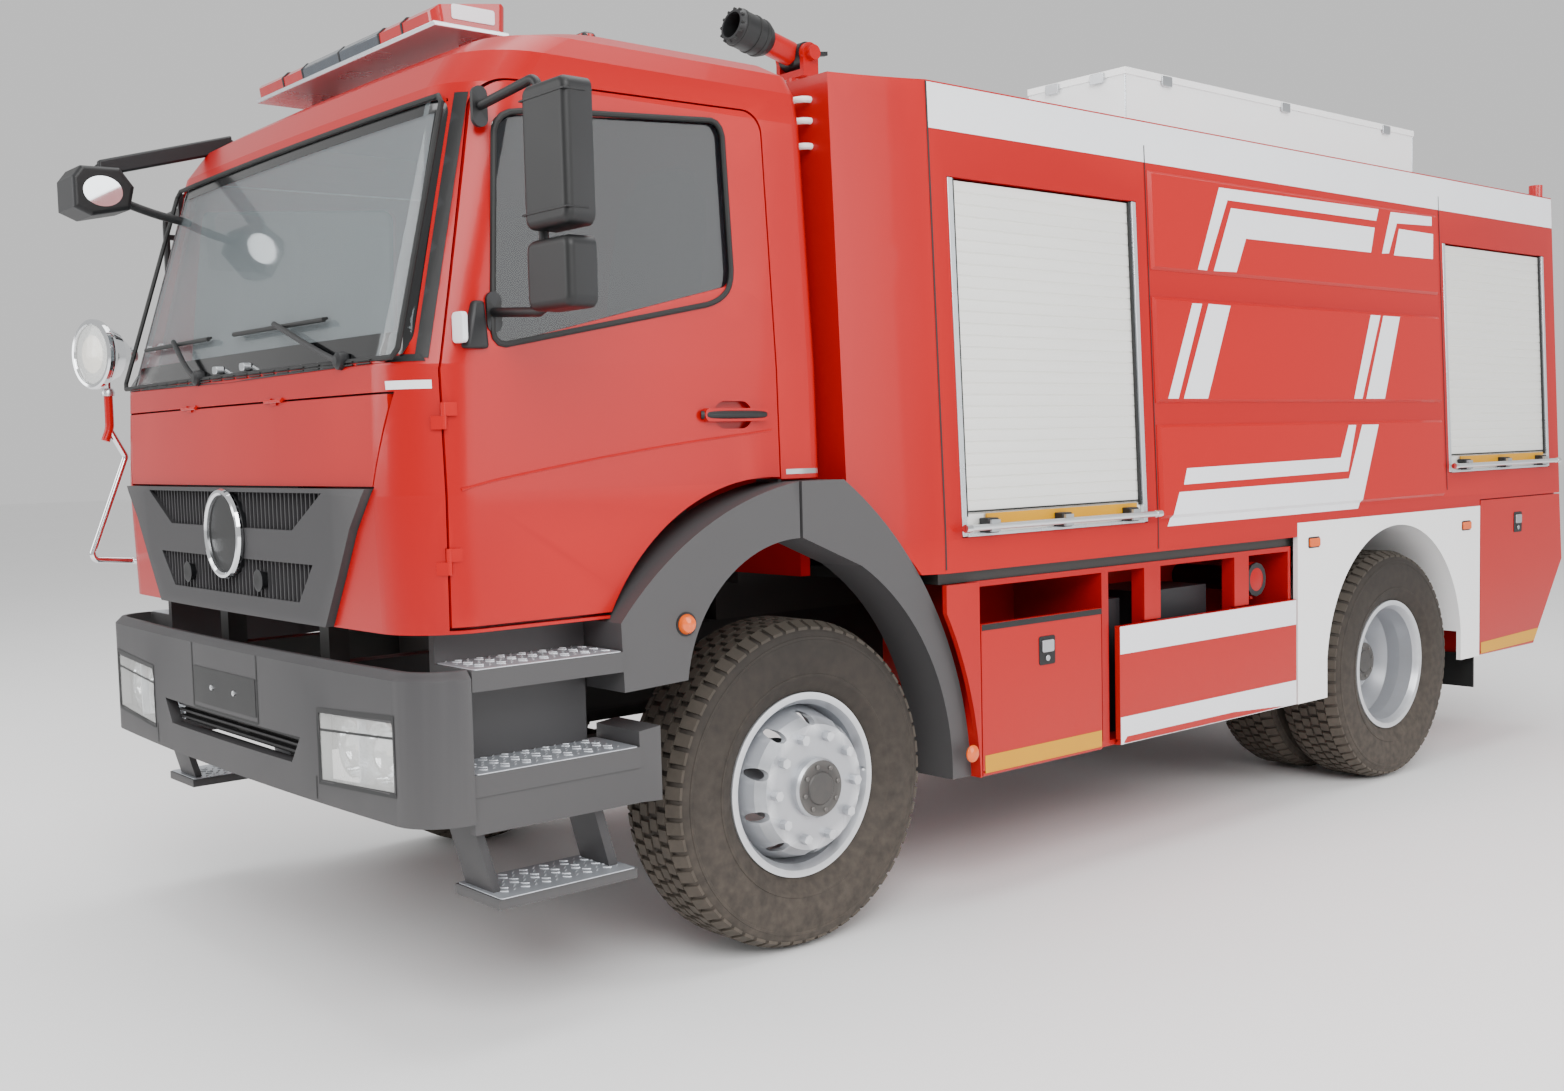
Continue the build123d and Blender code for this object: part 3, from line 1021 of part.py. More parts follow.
# Rear wall with its own shutter opening
with BuildPart() as body_rear:
    with BuildSketch(front_plane(BODY_REAR_Y)):
        with BuildLine():
            inner = BODY_WALL + SEAT_GAP
            Polyline((-side_x(0) + inner, BODY_FLOOR_Z), (-side_x(0) + inner, BODY_BEND_Z),
                     (-side_x(BODY_TOP) + inner, BODY_TOP), (side_x(BODY_TOP) - inner, BODY_TOP),
                     (side_x(0) - inner, BODY_BEND_Z), (side_x(0) - inner, BODY_FLOOR_Z), close=True)
        make_face()
        with Locations((0, (REAR_SHUTTER_LOW + REAR_SHUTTER_TOP) / 2)):
            Rectangle(2 * REAR_SHUTTER_HALF, REAR_SHUTTER_TOP - REAR_SHUTTER_LOW, mode=Mode.SUBTRACT)
    extrude(amount=BODY_WALL)
save(body_rear.part, "body_rear")

# Floor of the superstructure on its two bearers, which rest on the frame rails
with BuildPart() as body_floor:
    add(between(BODY_FLOOR_Z - 40, BODY_FLOOR_Z, BODY_FRONT_Y, BODY_REAR_Y, -BODY_HALF + 40, BODY_HALF - 40))
    add(between(BODY_FLOOR_Z - 40, BODY_FLOOR_Z, FAIRING_FRONT_Y, BODY_FRONT_Y, -BEARER_HALF, BEARER_HALF))
    for x in (SPRING_X, -SPRING_X):
        add(between(RAIL_TOP, BODY_FLOOR_Z - 40, FAIRING_FRONT_Y, FRAME_REAR_Y, x - RAIL_FLANGE / 2, x + RAIL_FLANGE / 2))
    for side in (1, -1):
        x_near, x_far = sorted((side * (REAR_LINER_X - 15), side * BODY_HALF))
        add(between(BODY_FLOOR_Z - 50, BODY_FLOOR_Z + 10, REAR_AXLE_Y - REAR_ARCH_FRONT - 20,
                    REAR_AXLE_Y + REAR_ARCH_BACK + 20, x_near, x_far), mode=Mode.SUBTRACT)
save(body_floor.part, "body_floor")


# Roller shutters: ribbed curtains in their guide rails, three openings a pair
def curtain_section(length, z_low, z_high):
    """Vertical section of one slatted curtain, a shallow bulge per slat, in its own plane."""
    count = round((z_high - z_low) / SLAT)
    pitch = (z_high - z_low) / count
    with BuildSketch(Plane.XZ) as shape:
        with BuildLine():
            points = [(-SHUTTER_T, z_low)]
            for k in range(count):
                points += [(0, z_low + k * pitch + 4), (0, z_low + (k + 1) * pitch - 4), (-4, z_low + (k + 1) * pitch)]
            points[-1] = (-SHUTTER_T, z_high)
            Polyline(*points, close=True)
        make_face()
    return shape.sketch


def side_curtain(y_span, z_low):
    """One side curtain, tilted to follow the leaning wall and set in from its face."""
    height = SHUTTER_TOP - z_low - 4
    with BuildPart() as curtain:
        extrude(curtain_section(0, 0, height), amount=-(y_span[1] - y_span[0] - 2 * SEAT_GAP))
    tilt = degrees(atan2(LEAN, 1))
    return curtain.part.moved(Location((side_x(z_low) - SHUTTER_INSET, y_span[0] + SEAT_GAP, z_low), (0, -tilt, 0)))


with BuildPart() as roller_shutters:
    for y_span, z_low in ((SHUTTER1_Y, SHUTTER1_BOTTOM), (SHUTTER2_Y, SHUTTER2_BOTTOM)):
        add(side_curtain(y_span, z_low + 1))
    mirror(about=Plane.YZ)
    with BuildPart(mode=Mode.PRIVATE) as rear_curtain:
        extrude(curtain_section(0, 0, REAR_SHUTTER_TOP - REAR_SHUTTER_LOW - 2 * SEAT_GAP),
                amount=-(2 * REAR_SHUTTER_HALF - 2 * SEAT_GAP))
    add(rear_curtain.part.moved(Location((REAR_SHUTTER_HALF - SEAT_GAP, BODY_REAR_Y - SHUTTER_INSET,
                                          REAR_SHUTTER_LOW + SEAT_GAP), (0, 0, 90))))
save(roller_shutters.part, "roller_shutters")


HINGE_X = BODY_HALF - HINGE_R
HINGE_Z = SKIRT_BOTTOM + HINGE_R
REAR_HINGE_Z = REAR_BOX_BOTTOM + HINGE_R
DOOR_BARRELS = [(BOX_FRONT_Y + 6, BOX_REAR_Y - 60, HINGE_Z), (FLAP_FRONT_Y, FLAP_REAR_Y, HINGE_Z),
                (ARCH_REAR_Y + 10, REAR_FOOT_Y - 4, REAR_HINGE_Z)]

# Lower bays: boxes hung under the floor, open to the side, with posts between them
with BuildPart() as lower_boxes:
    with BuildSketch(side_plane(BAY_IN_X)):
        with BuildLine():
            Polyline((BOX_FRONT_Y, SKIRT_BOTTOM), (BOX_FRONT_Y, BAY_TOP), (FLAP_REAR_Y, BAY_TOP),
                     (FLAP_REAR_Y, SKIRT_BOTTOM), close=True)
        make_face()
    extrude(amount=SHEET_OUT_X - BAY_IN_X)
    add(between(SKIRT_BOTTOM + SHEET, BAY_TOP - SHEET, BOX_FRONT_Y + SHEET, BOX_REAR_Y - SHEET, BAY_IN_X + SHEET, BODY_HALF),
        mode=Mode.SUBTRACT)
    add(between(SKIRT_BOTTOM + SHEET, BAY_TOP - SHEET, BOX_REAR_Y + SHEET, FLAP_REAR_Y - SHEET, BAY_IN_X + SHEET, BODY_HALF),
        mode=Mode.SUBTRACT)
    for y in POST_Y:
        add(between(FLAP_TOP + 4, BAY_TOP - SHEET, y, y + POST_W, SHEET_OUT_X - 60, SHEET_OUT_X))
        add(between(SKIRT_BOTTOM + SHEET, FLAP_TOP + 4, y, y + POST_W, SHEET_OUT_X - 60, SHEET_OUT_X - 20))
    strip = [(BOX_FRONT_Y, SKIRT_BOTTOM), (BOX_FRONT_Y, BAY_TOP), (BODY_FRONT_Y, BAY_TOP), (BODY_FRONT_Y, SKIRT_BOTTOM)]
    extrude(outline(strip, side_plane(BODY_HALF - SHEET)), amount=SHEET)
    add(between(SKIRT_BOTTOM, BAY_TOP, BOX_FRONT_Y - SHEET, BOX_FRONT_Y + 1, SHEET_OUT_X - 30, BODY_HALF - SHEET + 1))
    extrude(body_arch_clear(BODY_HALF - SHEET - 50), amount=SHEET + 60, mode=Mode.SUBTRACT)
    rear_box = [(ARCH_REAR_Y + 4, REAR_BOX_BOTTOM), (ARCH_REAR_Y + 4, BAY_TOP), (BODY_REAR_Y, BAY_TOP),
                (KNEE_Y, KNEE_Z), (REAR_FOOT_Y, REAR_BOX_BOTTOM)]
    rear_cavity = [(ARCH_REAR_Y + 24, REAR_BOX_BOTTOM + SHEET), (ARCH_REAR_Y + 24, BAY_TOP - SHEET),
                   (BODY_REAR_Y - SHEET, BAY_TOP - SHEET), (KNEE_Y - SHEET - 2, KNEE_Z),
                   (REAR_FOOT_Y - SHEET, REAR_BOX_BOTTOM + SHEET)]
    extrude(outline(rear_box, side_plane(BAY_IN_X)), amount=SHEET_OUT_X - BAY_IN_X)
    extrude(outline(rear_cavity, side_plane(BAY_IN_X + SHEET)), amount=BAY_DEPTH, mode=Mode.SUBTRACT)
    for y_front, y_rear, z_hinge in DOOR_BARRELS:
        for y_low in (y_front, y_rear - LUG_W):
            with BuildSketch(front_plane(y_low + LUG_W)):
                with Locations((HINGE_X, z_hinge)):
                    Circle(HINGE_R)
            extrude(amount=LUG_W)
            add(between(z_hinge - HINGE_R, z_hinge - 1, y_low, y_low + LUG_W, SHEET_OUT_X - 2, HINGE_X))
    mirror(about=Plane.YZ)
save(lower_boxes.part, "lower_boxes")

# Doors and flaps of the lower bays, each hung between two lugs along its lower edge
def lower_door(points, y_front, y_rear, z_hinge):
    """One bottom-hung door: its panel from a side outline, and the hinge barrel along its lower edge."""
    lug_room = LUG_W + SEAT_GAP
    with BuildPart() as door:
        extrude(outline(points, side_plane(BODY_HALF - DOOR_T)), amount=DOOR_T)
        with BuildSketch(front_plane(y_rear)):
            with Locations((HINGE_X, z_hinge)):
                Circle(HINGE_R)
        extrude(amount=y_rear - y_front)
        for y_low in (y_front - 1, y_rear - lug_room):
            add(between(z_hinge - HINGE_R - 1, z_hinge + HINGE_R + 2, y_low, y_low + lug_room + 1,
                        BODY_HALF - DOOR_T - 1, BODY_HALF + 1), mode=Mode.SUBTRACT)
    return door.part


box_door = [(BOX_FRONT_Y + 6, HINGE_Z), (BOX_FRONT_Y + 6, BOX_DOOR_TOP), (BOX_REAR_Y - 60, BOX_DOOR_TOP),
            (BOX_REAR_Y - 60, HINGE_Z)]
save_pair(lower_door(box_door, BOX_FRONT_Y + 6, BOX_REAR_Y - 60, HINGE_Z), "box_door")
flap = [(FLAP_FRONT_Y, HINGE_Z), (FLAP_FRONT_Y, FLAP_TOP), (FLAP_REAR_Y, FLAP_TOP), (FLAP_REAR_Y, HINGE_Z)]
save_pair(lower_door(flap, FLAP_FRONT_Y, FLAP_REAR_Y, HINGE_Z), "side_flap")
rear_door = [(ARCH_REAR_Y + 10, REAR_HINGE_Z), (ARCH_REAR_Y + 10, REAR_DOOR_TOP), (BODY_REAR_Y, REAR_DOOR_TOP),
             (KNEE_Y - 6, KNEE_Z), (REAR_FOOT_Y - 4, REAR_HINGE_Z)]
save_pair(lower_door(rear_door, ARCH_REAR_Y + 10, REAR_FOOT_Y - 4, REAR_HINGE_Z), "rear_door")

# Rear wheel-arch panels with their liners
with BuildPart() as rear_arches:
    panel = [(ARCH_FRONT_Y, SKIRT_BOTTOM), (ARCH_FRONT_Y, ARCH_PANEL_TOP), (ARCH_REAR_Y, ARCH_PANEL_TOP),
             (ARCH_REAR_Y, REAR_BOX_BOTTOM), (REAR_AXLE_Y + 500, REAR_BOX_BOTTOM), (REAR_AXLE_Y + 500, SKIRT_BOTTOM)]
    extrude(outline(panel, side_plane(BODY_HALF - SHEET)), amount=SHEET + 2)
    with BuildSketch(side_plane(REAR_LINER_X)):
        with BuildLine():
            rear_y, front_y = REAR_AXLE_Y + REAR_ARCH_BACK + 14, REAR_AXLE_Y - REAR_ARCH_FRONT - 14
            ThreePointArc((front_y, TYRE_R + 100), (REAR_AXLE_Y - 40, REAR_ARCH_TOP + 14), (rear_y, TYRE_R + 100))
            Line((rear_y, TYRE_R + 100), (front_y, TYRE_R + 100))
        make_face()
    extrude(amount=BODY_HALF - SHEET - REAR_LINER_X)
    with BuildSketch(side_plane(REAR_LINER_X - 10)):
        with BuildLine():
            rear_y, front_y = REAR_AXLE_Y + REAR_ARCH_BACK, REAR_AXLE_Y - REAR_ARCH_FRONT
            ThreePointArc((front_y, SKIRT_BOTTOM + 170), (REAR_AXLE_Y - 30, REAR_ARCH_TOP), (rear_y, SKIRT_BOTTOM + 170))
            Polyline((rear_y, SKIRT_BOTTOM + 170), (rear_y, SKIRT_BOTTOM - 90), (front_y, SKIRT_BOTTOM - 90),
                     (front_y, SKIRT_BOTTOM + 170))
        make_face()
    extrude(amount=BODY_HALF, mode=Mode.SUBTRACT)
    mirror(about=Plane.YZ)
save(rear_arches.part, "rear_arches")

# Equipment seen in the open bays, and the capped suction couplings
with BuildPart() as bay_equipment:
    for y_low, y_high, z_high, x_out in EQUIPMENT:
        z_low = SKIRT_BOTTOM + SHEET
        add(between(z_low, z_high, A + y_low, A + y_high, BAY_IN_X + SHEET, x_out))
    for y, z in COUPLING_AT:
        with BuildSketch(side_plane(BAY_IN_X + SHEET)):
            with Locations((A + y, z)):
                Circle(COUPLING_R)
        extrude(amount=COUPLING_REACH)
        with BuildSketch(side_plane(BAY_IN_X + SHEET + COUPLING_REACH)):
            with Locations((A + y, z)):
                RegularPolygon(radius=COUPLING_R + 20, side_count=12)
        extrude(amount=60)
    mirror(about=Plane.YZ)
save(bay_equipment.part, "bay_equipment")

# Shutter handle bars on their brackets
with BuildPart() as shutter_bars:
    for y_span, z_low in ((SHUTTER1_Y, SHUTTER1_BOTTOM), (SHUTTER2_Y, SHUTTER2_BOTTOM)):
        bar_x = side_x(z_low + 34) + 40
        with BuildSketch(front_plane(y_span[1] + 14)):
            with Locations((bar_x, z_low + 34)):
                Circle(11)
        extrude(amount=y_span[1] - y_span[0] + 28)
        for share in (0.12, 0.5, 0.88):
            y = y_span[0] + share * (y_span[1] - y_span[0])
            face_x = side_x(z_low) - SHUTTER_INSET + SEAT_GAP
            add(between(z_low + 16, z_low + 58, y - 22, y + 22, face_x, bar_x + 4))
    mirror(about=Plane.YZ)
save(shutter_bars.part, "shutter_bars")

# Roof locker with a lid hinged along its inner edge
LOCKER_LID_T = 26
LOCKER_FLOOR = BODY_TOP - 16
with BuildPart() as roof_locker:
    add(between(LOCKER_FLOOR, LOCKER_TOP - LOCKER_LID_T - SEAT_GAP, LOCKER_FRONT_Y, LOCKER_REAR_Y, LOCKER_IN_X, LOCKER_OUT_X))
    add(between(LOCKER_FLOOR + 12, LOCKER_TOP, LOCKER_FRONT_Y + 12, LOCKER_REAR_Y - 12, LOCKER_IN_X + 12, LOCKER_OUT_X - 12),
        mode=Mode.SUBTRACT)
save(roof_locker.part, "roof_locker")
with BuildPart() as locker_lid:
    add(between(LOCKER_TOP - LOCKER_LID_T, LOCKER_TOP, LOCKER_FRONT_Y - 6, LOCKER_REAR_Y + 6, LOCKER_IN_X - 6, LOCKER_OUT_X + 6))
save(locker_lid.part, "locker_lid")

# Foam and water monitor: fixed riser, swivelling elbow, and the barrel that tilts on it
with BuildPart() as monitor_base:
    with BuildSketch(Plane.XY.offset(BODY_TOP - 16)):
        with Locations((0, MONITOR_Y)):
            Circle(120)
    extrude(amount=22)
    with BuildSketch(Plane.XY.offset(BODY_TOP - 16)):
        with Locations((0, MONITOR_Y)):
            Circle(58)
    extrude(amount=MONITOR_SWIVEL_Z - BODY_TOP + 16 - 0.3)
save(monitor_base.part, "monitor_base")
# The swivel's fork holds the barrel between its ears
EAR_IN = MONITOR_BOSS_HALF + SEAT_GAP
with BuildPart() as monitor_swivel:
    swivel_profile = [(0, MONITOR_SWIVEL_Z), (72, MONITOR_SWIVEL_Z), (72, MONITOR_SWIVEL_Z + 34), (50, MONITOR_SWIVEL_Z + 52),
                      (46, MONITOR_AXIS_Z - 90), (0, MONITOR_AXIS_Z - 90)]
    revolve(outline(swivel_profile, Plane.XZ), axis=Axis.Z)
    add(between(MONITOR_AXIS_Z - 92, MONITOR_AXIS_Z - 64, -40, 40, -EAR_IN - EAR_T, EAR_IN + EAR_T))
    for x_low in (EAR_IN, -EAR_IN - EAR_T):
        with BuildSketch(side_plane(x_low)) as ear:
            with Locations((0, MONITOR_AXIS_Z)):
                Circle(44)
            with Locations((0, MONITOR_AXIS_Z - 45)):
                Rectangle(80, 90)
        extrude(amount=EAR_T)
    hand_wheel = side_plane(EAR_IN + EAR_T)
    with BuildSketch(hand_wheel):
        with Locations((0, MONITOR_AXIS_Z)):
            Circle(30)
    extrude(amount=26)
save(monitor_swivel.part.moved(Location((0, MONITOR_Y, 0))), "monitor_swivel")
with BuildPart() as monitor_barrel:
    with BuildSketch(Plane.YZ.offset(-MONITOR_BOSS_HALF)):
        Circle(MONITOR_BOSS_R)
    extrude(amount=2 * MONITOR_BOSS_HALF)
    barrel_profile = [(0, 20), (46, 20), (46, -80), (38, -96), (38, -150), (60, -172), (NOZZLE_R, -200),
                      (NOZZLE_R, -BARREL_LENGTH + 20), (NOZZLE_R - 12, -BARREL_LENGTH), (52, -BARREL_LENGTH),
                      (44, -BARREL_LENGTH + 90), (0, -BARREL_LENGTH + 90)]
    revolve(outline(barrel_profile), axis=Axis.Y)
    lever = [(20, 30), (34, 14), (150, 62), (146, 78)]
    extrude(outline(lever, side_plane(-12)), amount=24)
barrel_place = Location((0, MONITOR_Y, MONITOR_AXIS_Z), (-BARREL_RISE, 0, 0))
save(monitor_barrel.part.moved(barrel_place), "monitor_barrel")

# Light bar on its feet, with a marker lamp beside each end and a beacon on each rear corner of the body
LIGHT_BAR_FRONT = LIGHT_BAR_Y - LIGHT_BAR_D / 2
LIGHT_BAR_REAR = LIGHT_BAR_Y + LIGHT_BAR_D / 2
with BuildPart() as light_bar:
    bar_side = [(LIGHT_BAR_FRONT + 6, LIGHT_BAR_Z), (LIGHT_BAR_FRONT, LIGHT_BAR_Z + 40), (LIGHT_BAR_FRONT + 20, LIGHT_BAR_Z + 58),
                (LIGHT_BAR_REAR - 24, LIGHT_BAR_Z + LIGHT_BAR_H), (LIGHT_BAR_REAR, LIGHT_BAR_Z + LIGHT_BAR_H - 12),
                (LIGHT_BAR_REAR - 4, LIGHT_BAR_Z)]
    extrude(outline(bar_side, side_plane(-LIGHT_BAR_W / 2)), amount=LIGHT_BAR_W)
    for x in (LIGHT_BAR_W / 2, -LIGHT_BAR_W / 2):
        end = light_bar.edges().filter_by(Axis.Z, tolerance=12).filter_by(lambda e: abs(e.center().X - x) < 1)
        fillet(end, radius=34)
    for x in (-LIGHT_BAR_W / 2 + 120, LIGHT_BAR_W / 2 - 120):
        add(between(ROOF_Z + SEAT_GAP, LIGHT_BAR_Z, LIGHT_BAR_Y + 44, LIGHT_BAR_Y + 112, x - 40, x + 40))
    for x in (ROOF_LAMP_X, -ROOF_LAMP_X):
        with BuildSketch(Plane.XY.offset(ROOF_Z + SEAT_GAP)):
            with Locations((x, ROOF_LAMP_Y)):
                SlotOverall(120, 50)
        extrude(amount=34)
    for x in (BEACON_X, -BEACON_X):
        with BuildSketch(Plane.XY.offset(BODY_TOP + SEAT_GAP)):
            with Locations((x, BEACON_Y)):
                Circle(34)
        extrude(amount=60)
save(light_bar.part, "light_bar")

# Tail lamps and the rear access ladder
with BuildPart() as tail_lamps:
    for side in (1, -1):
        x_low, x_high = sorted((side * 830, side * 1180))
        add(between(1196, 1226, BODY_REAR_Y + SEAT_GAP, BODY_REAR_Y + 40, x_low, x_high))
save(tail_lamps.part, "tail_lamps")
with BuildPart() as rear_ladder:
    for x in (LADDER_X - 190, LADDER_X + 190):
        add(between(1250, BODY_TOP + 60, REAR_LIMIT_Y - 34, REAR_LIMIT_Y, x - 16, x + 16))
        add(between(1290, 1320, BODY_REAR_Y + SEAT_GAP, REAR_LIMIT_Y - 20, x - 16, x + 16))
        add(between(BODY_TOP - 120, BODY_TOP - 90, BODY_REAR_Y + SEAT_GAP, REAR_LIMIT_Y - 20, x - 16, x + 16))
    for k in range(6):
        add(between(1300 + 280 * k, 1324 + 280 * k, REAR_LIMIT_Y - 30, REAR_LIMIT_Y - 4, LADDER_X - 190, LADDER_X + 190))
save(rear_ladder.part, "rear_ladder")

# Cab fittings: seats on their plinths, the dashboard with the steering wheel
with BuildPart() as seats:
    for x in (SEAT_X, -SEAT_X):
        with BuildPart(mode=Mode.PRIVATE) as cushion:
            add(between(CAB_FLOOR_Z + 190, CAB_FLOOR_Z + 320, A - 620, A - 130, x - SEAT_W / 2, x + SEAT_W / 2))
            fillet(cushion.edges(), radius=34)
        add(cushion.part)
        back = [(A - 190, CAB_FLOOR_Z + 250), (A - 100, CAB_FLOOR_Z + 230), (A - 22, CAB_FLOOR_Z + 800),
                (A - 40, CAB_FLOOR_Z + 980), (A - 104, CAB_FLOOR_Z + 975), (A - 118, CAB_FLOOR_Z + 800)]
        with BuildPart(mode=Mode.PRIVATE) as backrest:
            extrude(outline(back, side_plane(x - SEAT_W / 2 + 20)), amount=SEAT_W - 40)
            fillet(backrest.faces().filter_by(Axis.X).edges(), radius=24)
        add(backrest.part)
        add(between(CAB_FLOOR_Z + SEAT_GAP, CAB_FLOOR_Z + 200, A - 560, A - 170, x - 150, x + 150))
save(seats.part, "seats")
with BuildPart() as dashboard:
    dash_front = CAB_FRONT_Y + SKIN_DEPTH + 20 + SEAT_GAP
    dash = [(dash_front, CAB_FLOOR_Z + SEAT_GAP), (dash_front, SCREEN_LOW - 60), (dash_front + 190, SCREEN_LOW - 40),
            (dash_front + 330, SCREEN_LOW - 90), (dash_front + 340, SCREEN_LOW - 170), (dash_front + 200, CAB_FLOOR_Z + 60),
            (dash_front + 190, CAB_FLOOR_Z + SEAT_GAP)]
    extrude(outline(dash, side_plane(-DASH_HALF)), amount=2 * DASH_HALF)
    fillet(dashboard.edges().filter_by(Axis.X).group_by(Axis.Z)[-2:], radius=30)
    wheel_plane = Plane(origin=(SEAT_X, dash_front + 390, SCREEN_LOW - 60), x_dir=(1, 0, 0), z_dir=(0, 0.62, 0.78))
    with BuildSketch(wheel_plane.offset(-190)):
        Circle(26)
    extrude(amount=196)
    with BuildSketch(wheel_plane):
        Circle(60)
        Circle(STEERING_R - 8)
        Circle(STEERING_R - 22, mode=Mode.SUBTRACT)
        Circle(58)
        with PolarLocations(0, 3, start_angle=90):
            Rectangle(STEERING_R - 10, 26, align=(Align.MIN, Align.CENTER))
    extrude(amount=16)
save(dashboard.part, "dashboard")


# Wipers: two arms on spindles in the scuttle, each with its blade close over the glass
def wiper_point(x, z, clear):
    """A point in front of the cab's outer face at the given clearance."""
    front = CAB_FRONT_Y + 14 + (HEADER_Y - CAB_FRONT_Y - 14) * (z - SCUTTLE_Z) / (HEADER_Z - SCUTTLE_Z)
    return (x, front + CAB_BOW * (x / SCUTTLE_HALF) ** 2 - clear, z)


with BuildPart() as wipers:
    for pivot_x, tip_x, tip_z, blade_half in WIPERS:
        pivot, tip = wiper_point(pivot_x, WIPER_PIVOT_Z, 16), wiper_point(tip_x, tip_z, 26)
        along = (Vector(*tip) - Vector(*pivot)).normalized()
        with BuildSketch(front_plane(pivot[1] + 44)):
            with Locations((pivot_x, WIPER_PIVOT_Z)):
                Circle(22)
        extrude(amount=50)
        with BuildSketch(Plane(origin=pivot, z_dir=along)):
            Rectangle(14, 20)
        extrude(amount=(Vector(*tip) - Vector(*pivot)).length)
        left, right = wiper_point(tip_x - blade_half, tip_z - 12, 22), wiper_point(tip_x + blade_half, tip_z + 12, 22)
        with BuildSketch(Plane(origin=left, z_dir=Vector(*right) - Vector(*left))):
            Rectangle(22, 12)
        extrude(amount=(Vector(*right) - Vector(*left)).length)
    add(cab_envelope(-SEAT_GAP), mode=Mode.SUBTRACT)
save(wipers.part, "wipers")


def tube_along(points, radius, bend):
    """Round tube along a route of straight runs joined by arcs."""
    with BuildPart() as tube:
        with BuildLine() as route:
            FilletPolyline(*points, radius=bend)
        with BuildSketch(Plane(origin=route.line @ 0, z_dir=route.line % 0)):
            Circle(radius)
        sweep(path=route.line)
    return tube.part


def housing(z_low, z_high, y_low, y_high, x_low, x_high, radius):
    """Moulded housing with rounded edges between two corners."""
    with BuildPart() as body:
        add(between(z_low, z_high, y_low, y_high, x_low, x_high))
        fillet(body.edges().filter_by(Axis.Y), radius=radius)
        fillet(body.faces().sort_by(Axis.Y)[0].edges(), radius=radius * 0.7)
    return body.part


def door_mirror(low, arm_x, arm_y, housings):
    """Hooped arm on the left door with moulded housings given by their corners in side view."""
    with BuildPart() as piece:
        roots = []
        for z in (low + 30, MIRROR_HIGH - 40):
            lean = (SCUTTLE_HALF - CAB_TOP_HALF) / (HEADER_Z - SCUTTLE_Z)
            roots.append((SCUTTLE_HALF - lean * max(z - SCUTTLE_Z, 0) - 6, MIRROR_Y, z))
        hoop = [roots[0], (arm_x, arm_y, low + 10), (arm_x, arm_y, MIRROR_HIGH - 14), roots[1]]
        add(tube_along(hoop, 13, 40))
        for root in roots:
            with BuildSketch(side_plane(root[0])):
                with Locations((MIRROR_Y, root[2])):
                    SlotOverall(110, 46, rotation=90)
            extrude(amount=14)
        for z_low, z_high, y_low, y_high in housings:
            add(between(z_high - 130, z_high - 110, arm_y, y_low + 30, arm_x - 10, arm_x + 10))
            add(housing(z_low, z_high, y_low, y_high, arm_x - 26, MIRROR_OUT_X, 30))
        add(cab_envelope(-SEAT_GAP), mode=Mode.SUBTRACT)
    return piece.part


# Door mirrors: a large and a small housing on the left, their glass facing back, and on the right
# one housing set further back that looks down the side
left_housings = [(z_low, z_high, MIRROR_Y - 44, MIRROR_Y + 40) for z_low, z_high in MIRROR_HOUSINGS]
save(door_mirror(MIRROR_LOW, MIRROR_ARM_X, MIRROR_Y, left_housings), "door_mirror_left")
right_mirror = door_mirror(SIDE_MIRROR_LOW, SIDE_MIRROR_ARM_X, SIDE_MIRROR_ARM_Y, [SIDE_MIRROR_HOUSING])
save(mirror(right_mirror, about=Plane.YZ), "door_mirror_right")

# Kerb mirror on its arm at the right front of the roof, steadied by a rod to the pillar
with BuildPart() as kerb_mirror:
    elbow = (KERB_X, A - 1452, 2654)
    add(tube_along([(KERB_X, A - 960, 2788), elbow, (KERB_X, A - 1458, 2560)], 11, 30))
    add(tube_along([(KERB_X + 4, A - 1400, 2548), (KERB_X + 4, A - 1250, 2500), (KERB_X + 4, A - 1120, 2478)], 7, 30))
    head = [(FRONT_LIMIT_Y, 2496), (FRONT_LIMIT_Y, 2600), (A - 1530, 2640), (A - 1400, 2643), (A - 1352, 2580), (A - 1370, 2500),
            (A - 1500, 2470)]
    extrude(outline(head, side_plane(KERB_X - 95)), amount=190)
    fillet(kerb_mirror.faces().filter_by(Axis.X).sort_by(SortBy.AREA)[-2:].edges(), radius=16)
    add(cab_envelope(-SEAT_GAP), mode=Mode.SUBTRACT)
save(kerb_mirror.part, "kerb_mirror")

# Search lamp: bell housing on a stem, carried by a bent arm from the right front corner of the cab
with BuildPart() as search_lamp:
    bell = [(0, 0), (LAMP_R, 0), (LAMP_R, 16), (LAMP_R - 14, 34), (92, 78), (54, 122), (34, 140), (30, 166), (0, 166)]
    with BuildPart(mode=Mode.PRIVATE) as bell_housing:
        revolve(outline(bell), axis=Axis.Y)
    add(bell_housing.part.moved(Location((LAMP_X, LAMP_FACE_Y, LAMP_Z), (0, 0, LAMP_TURN))))
    stem_y = LAMP_FACE_Y + 48
    arm = [(-CAB_HALF + 60, A - 1278, 1248), (LAMP_X, A - 1278, 1248), (LAMP_X, A - 1446, 1262), (LAMP_X, A - 1300, 1640),
           (LAMP_X, stem_y, 1740), (LAMP_X, stem_y, LAMP_Z - 60)]
    add(tube_along(arm, 12, 22))
    add(cab_envelope(-SEAT_GAP), mode=Mode.SUBTRACT)
save(search_lamp.part, "search_lamp")
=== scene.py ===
"""Looks of the airport fire truck: finishes, trim, markings, tyres, lamps, seats and the studio."""
import json
import logging
import math
from dataclasses import dataclass, field
from enum import Enum
from typing import Any, Sequence

import bmesh
import bpy
from mathutils import Matrix, Vector
from mathutils.bvhtree import BVHTree


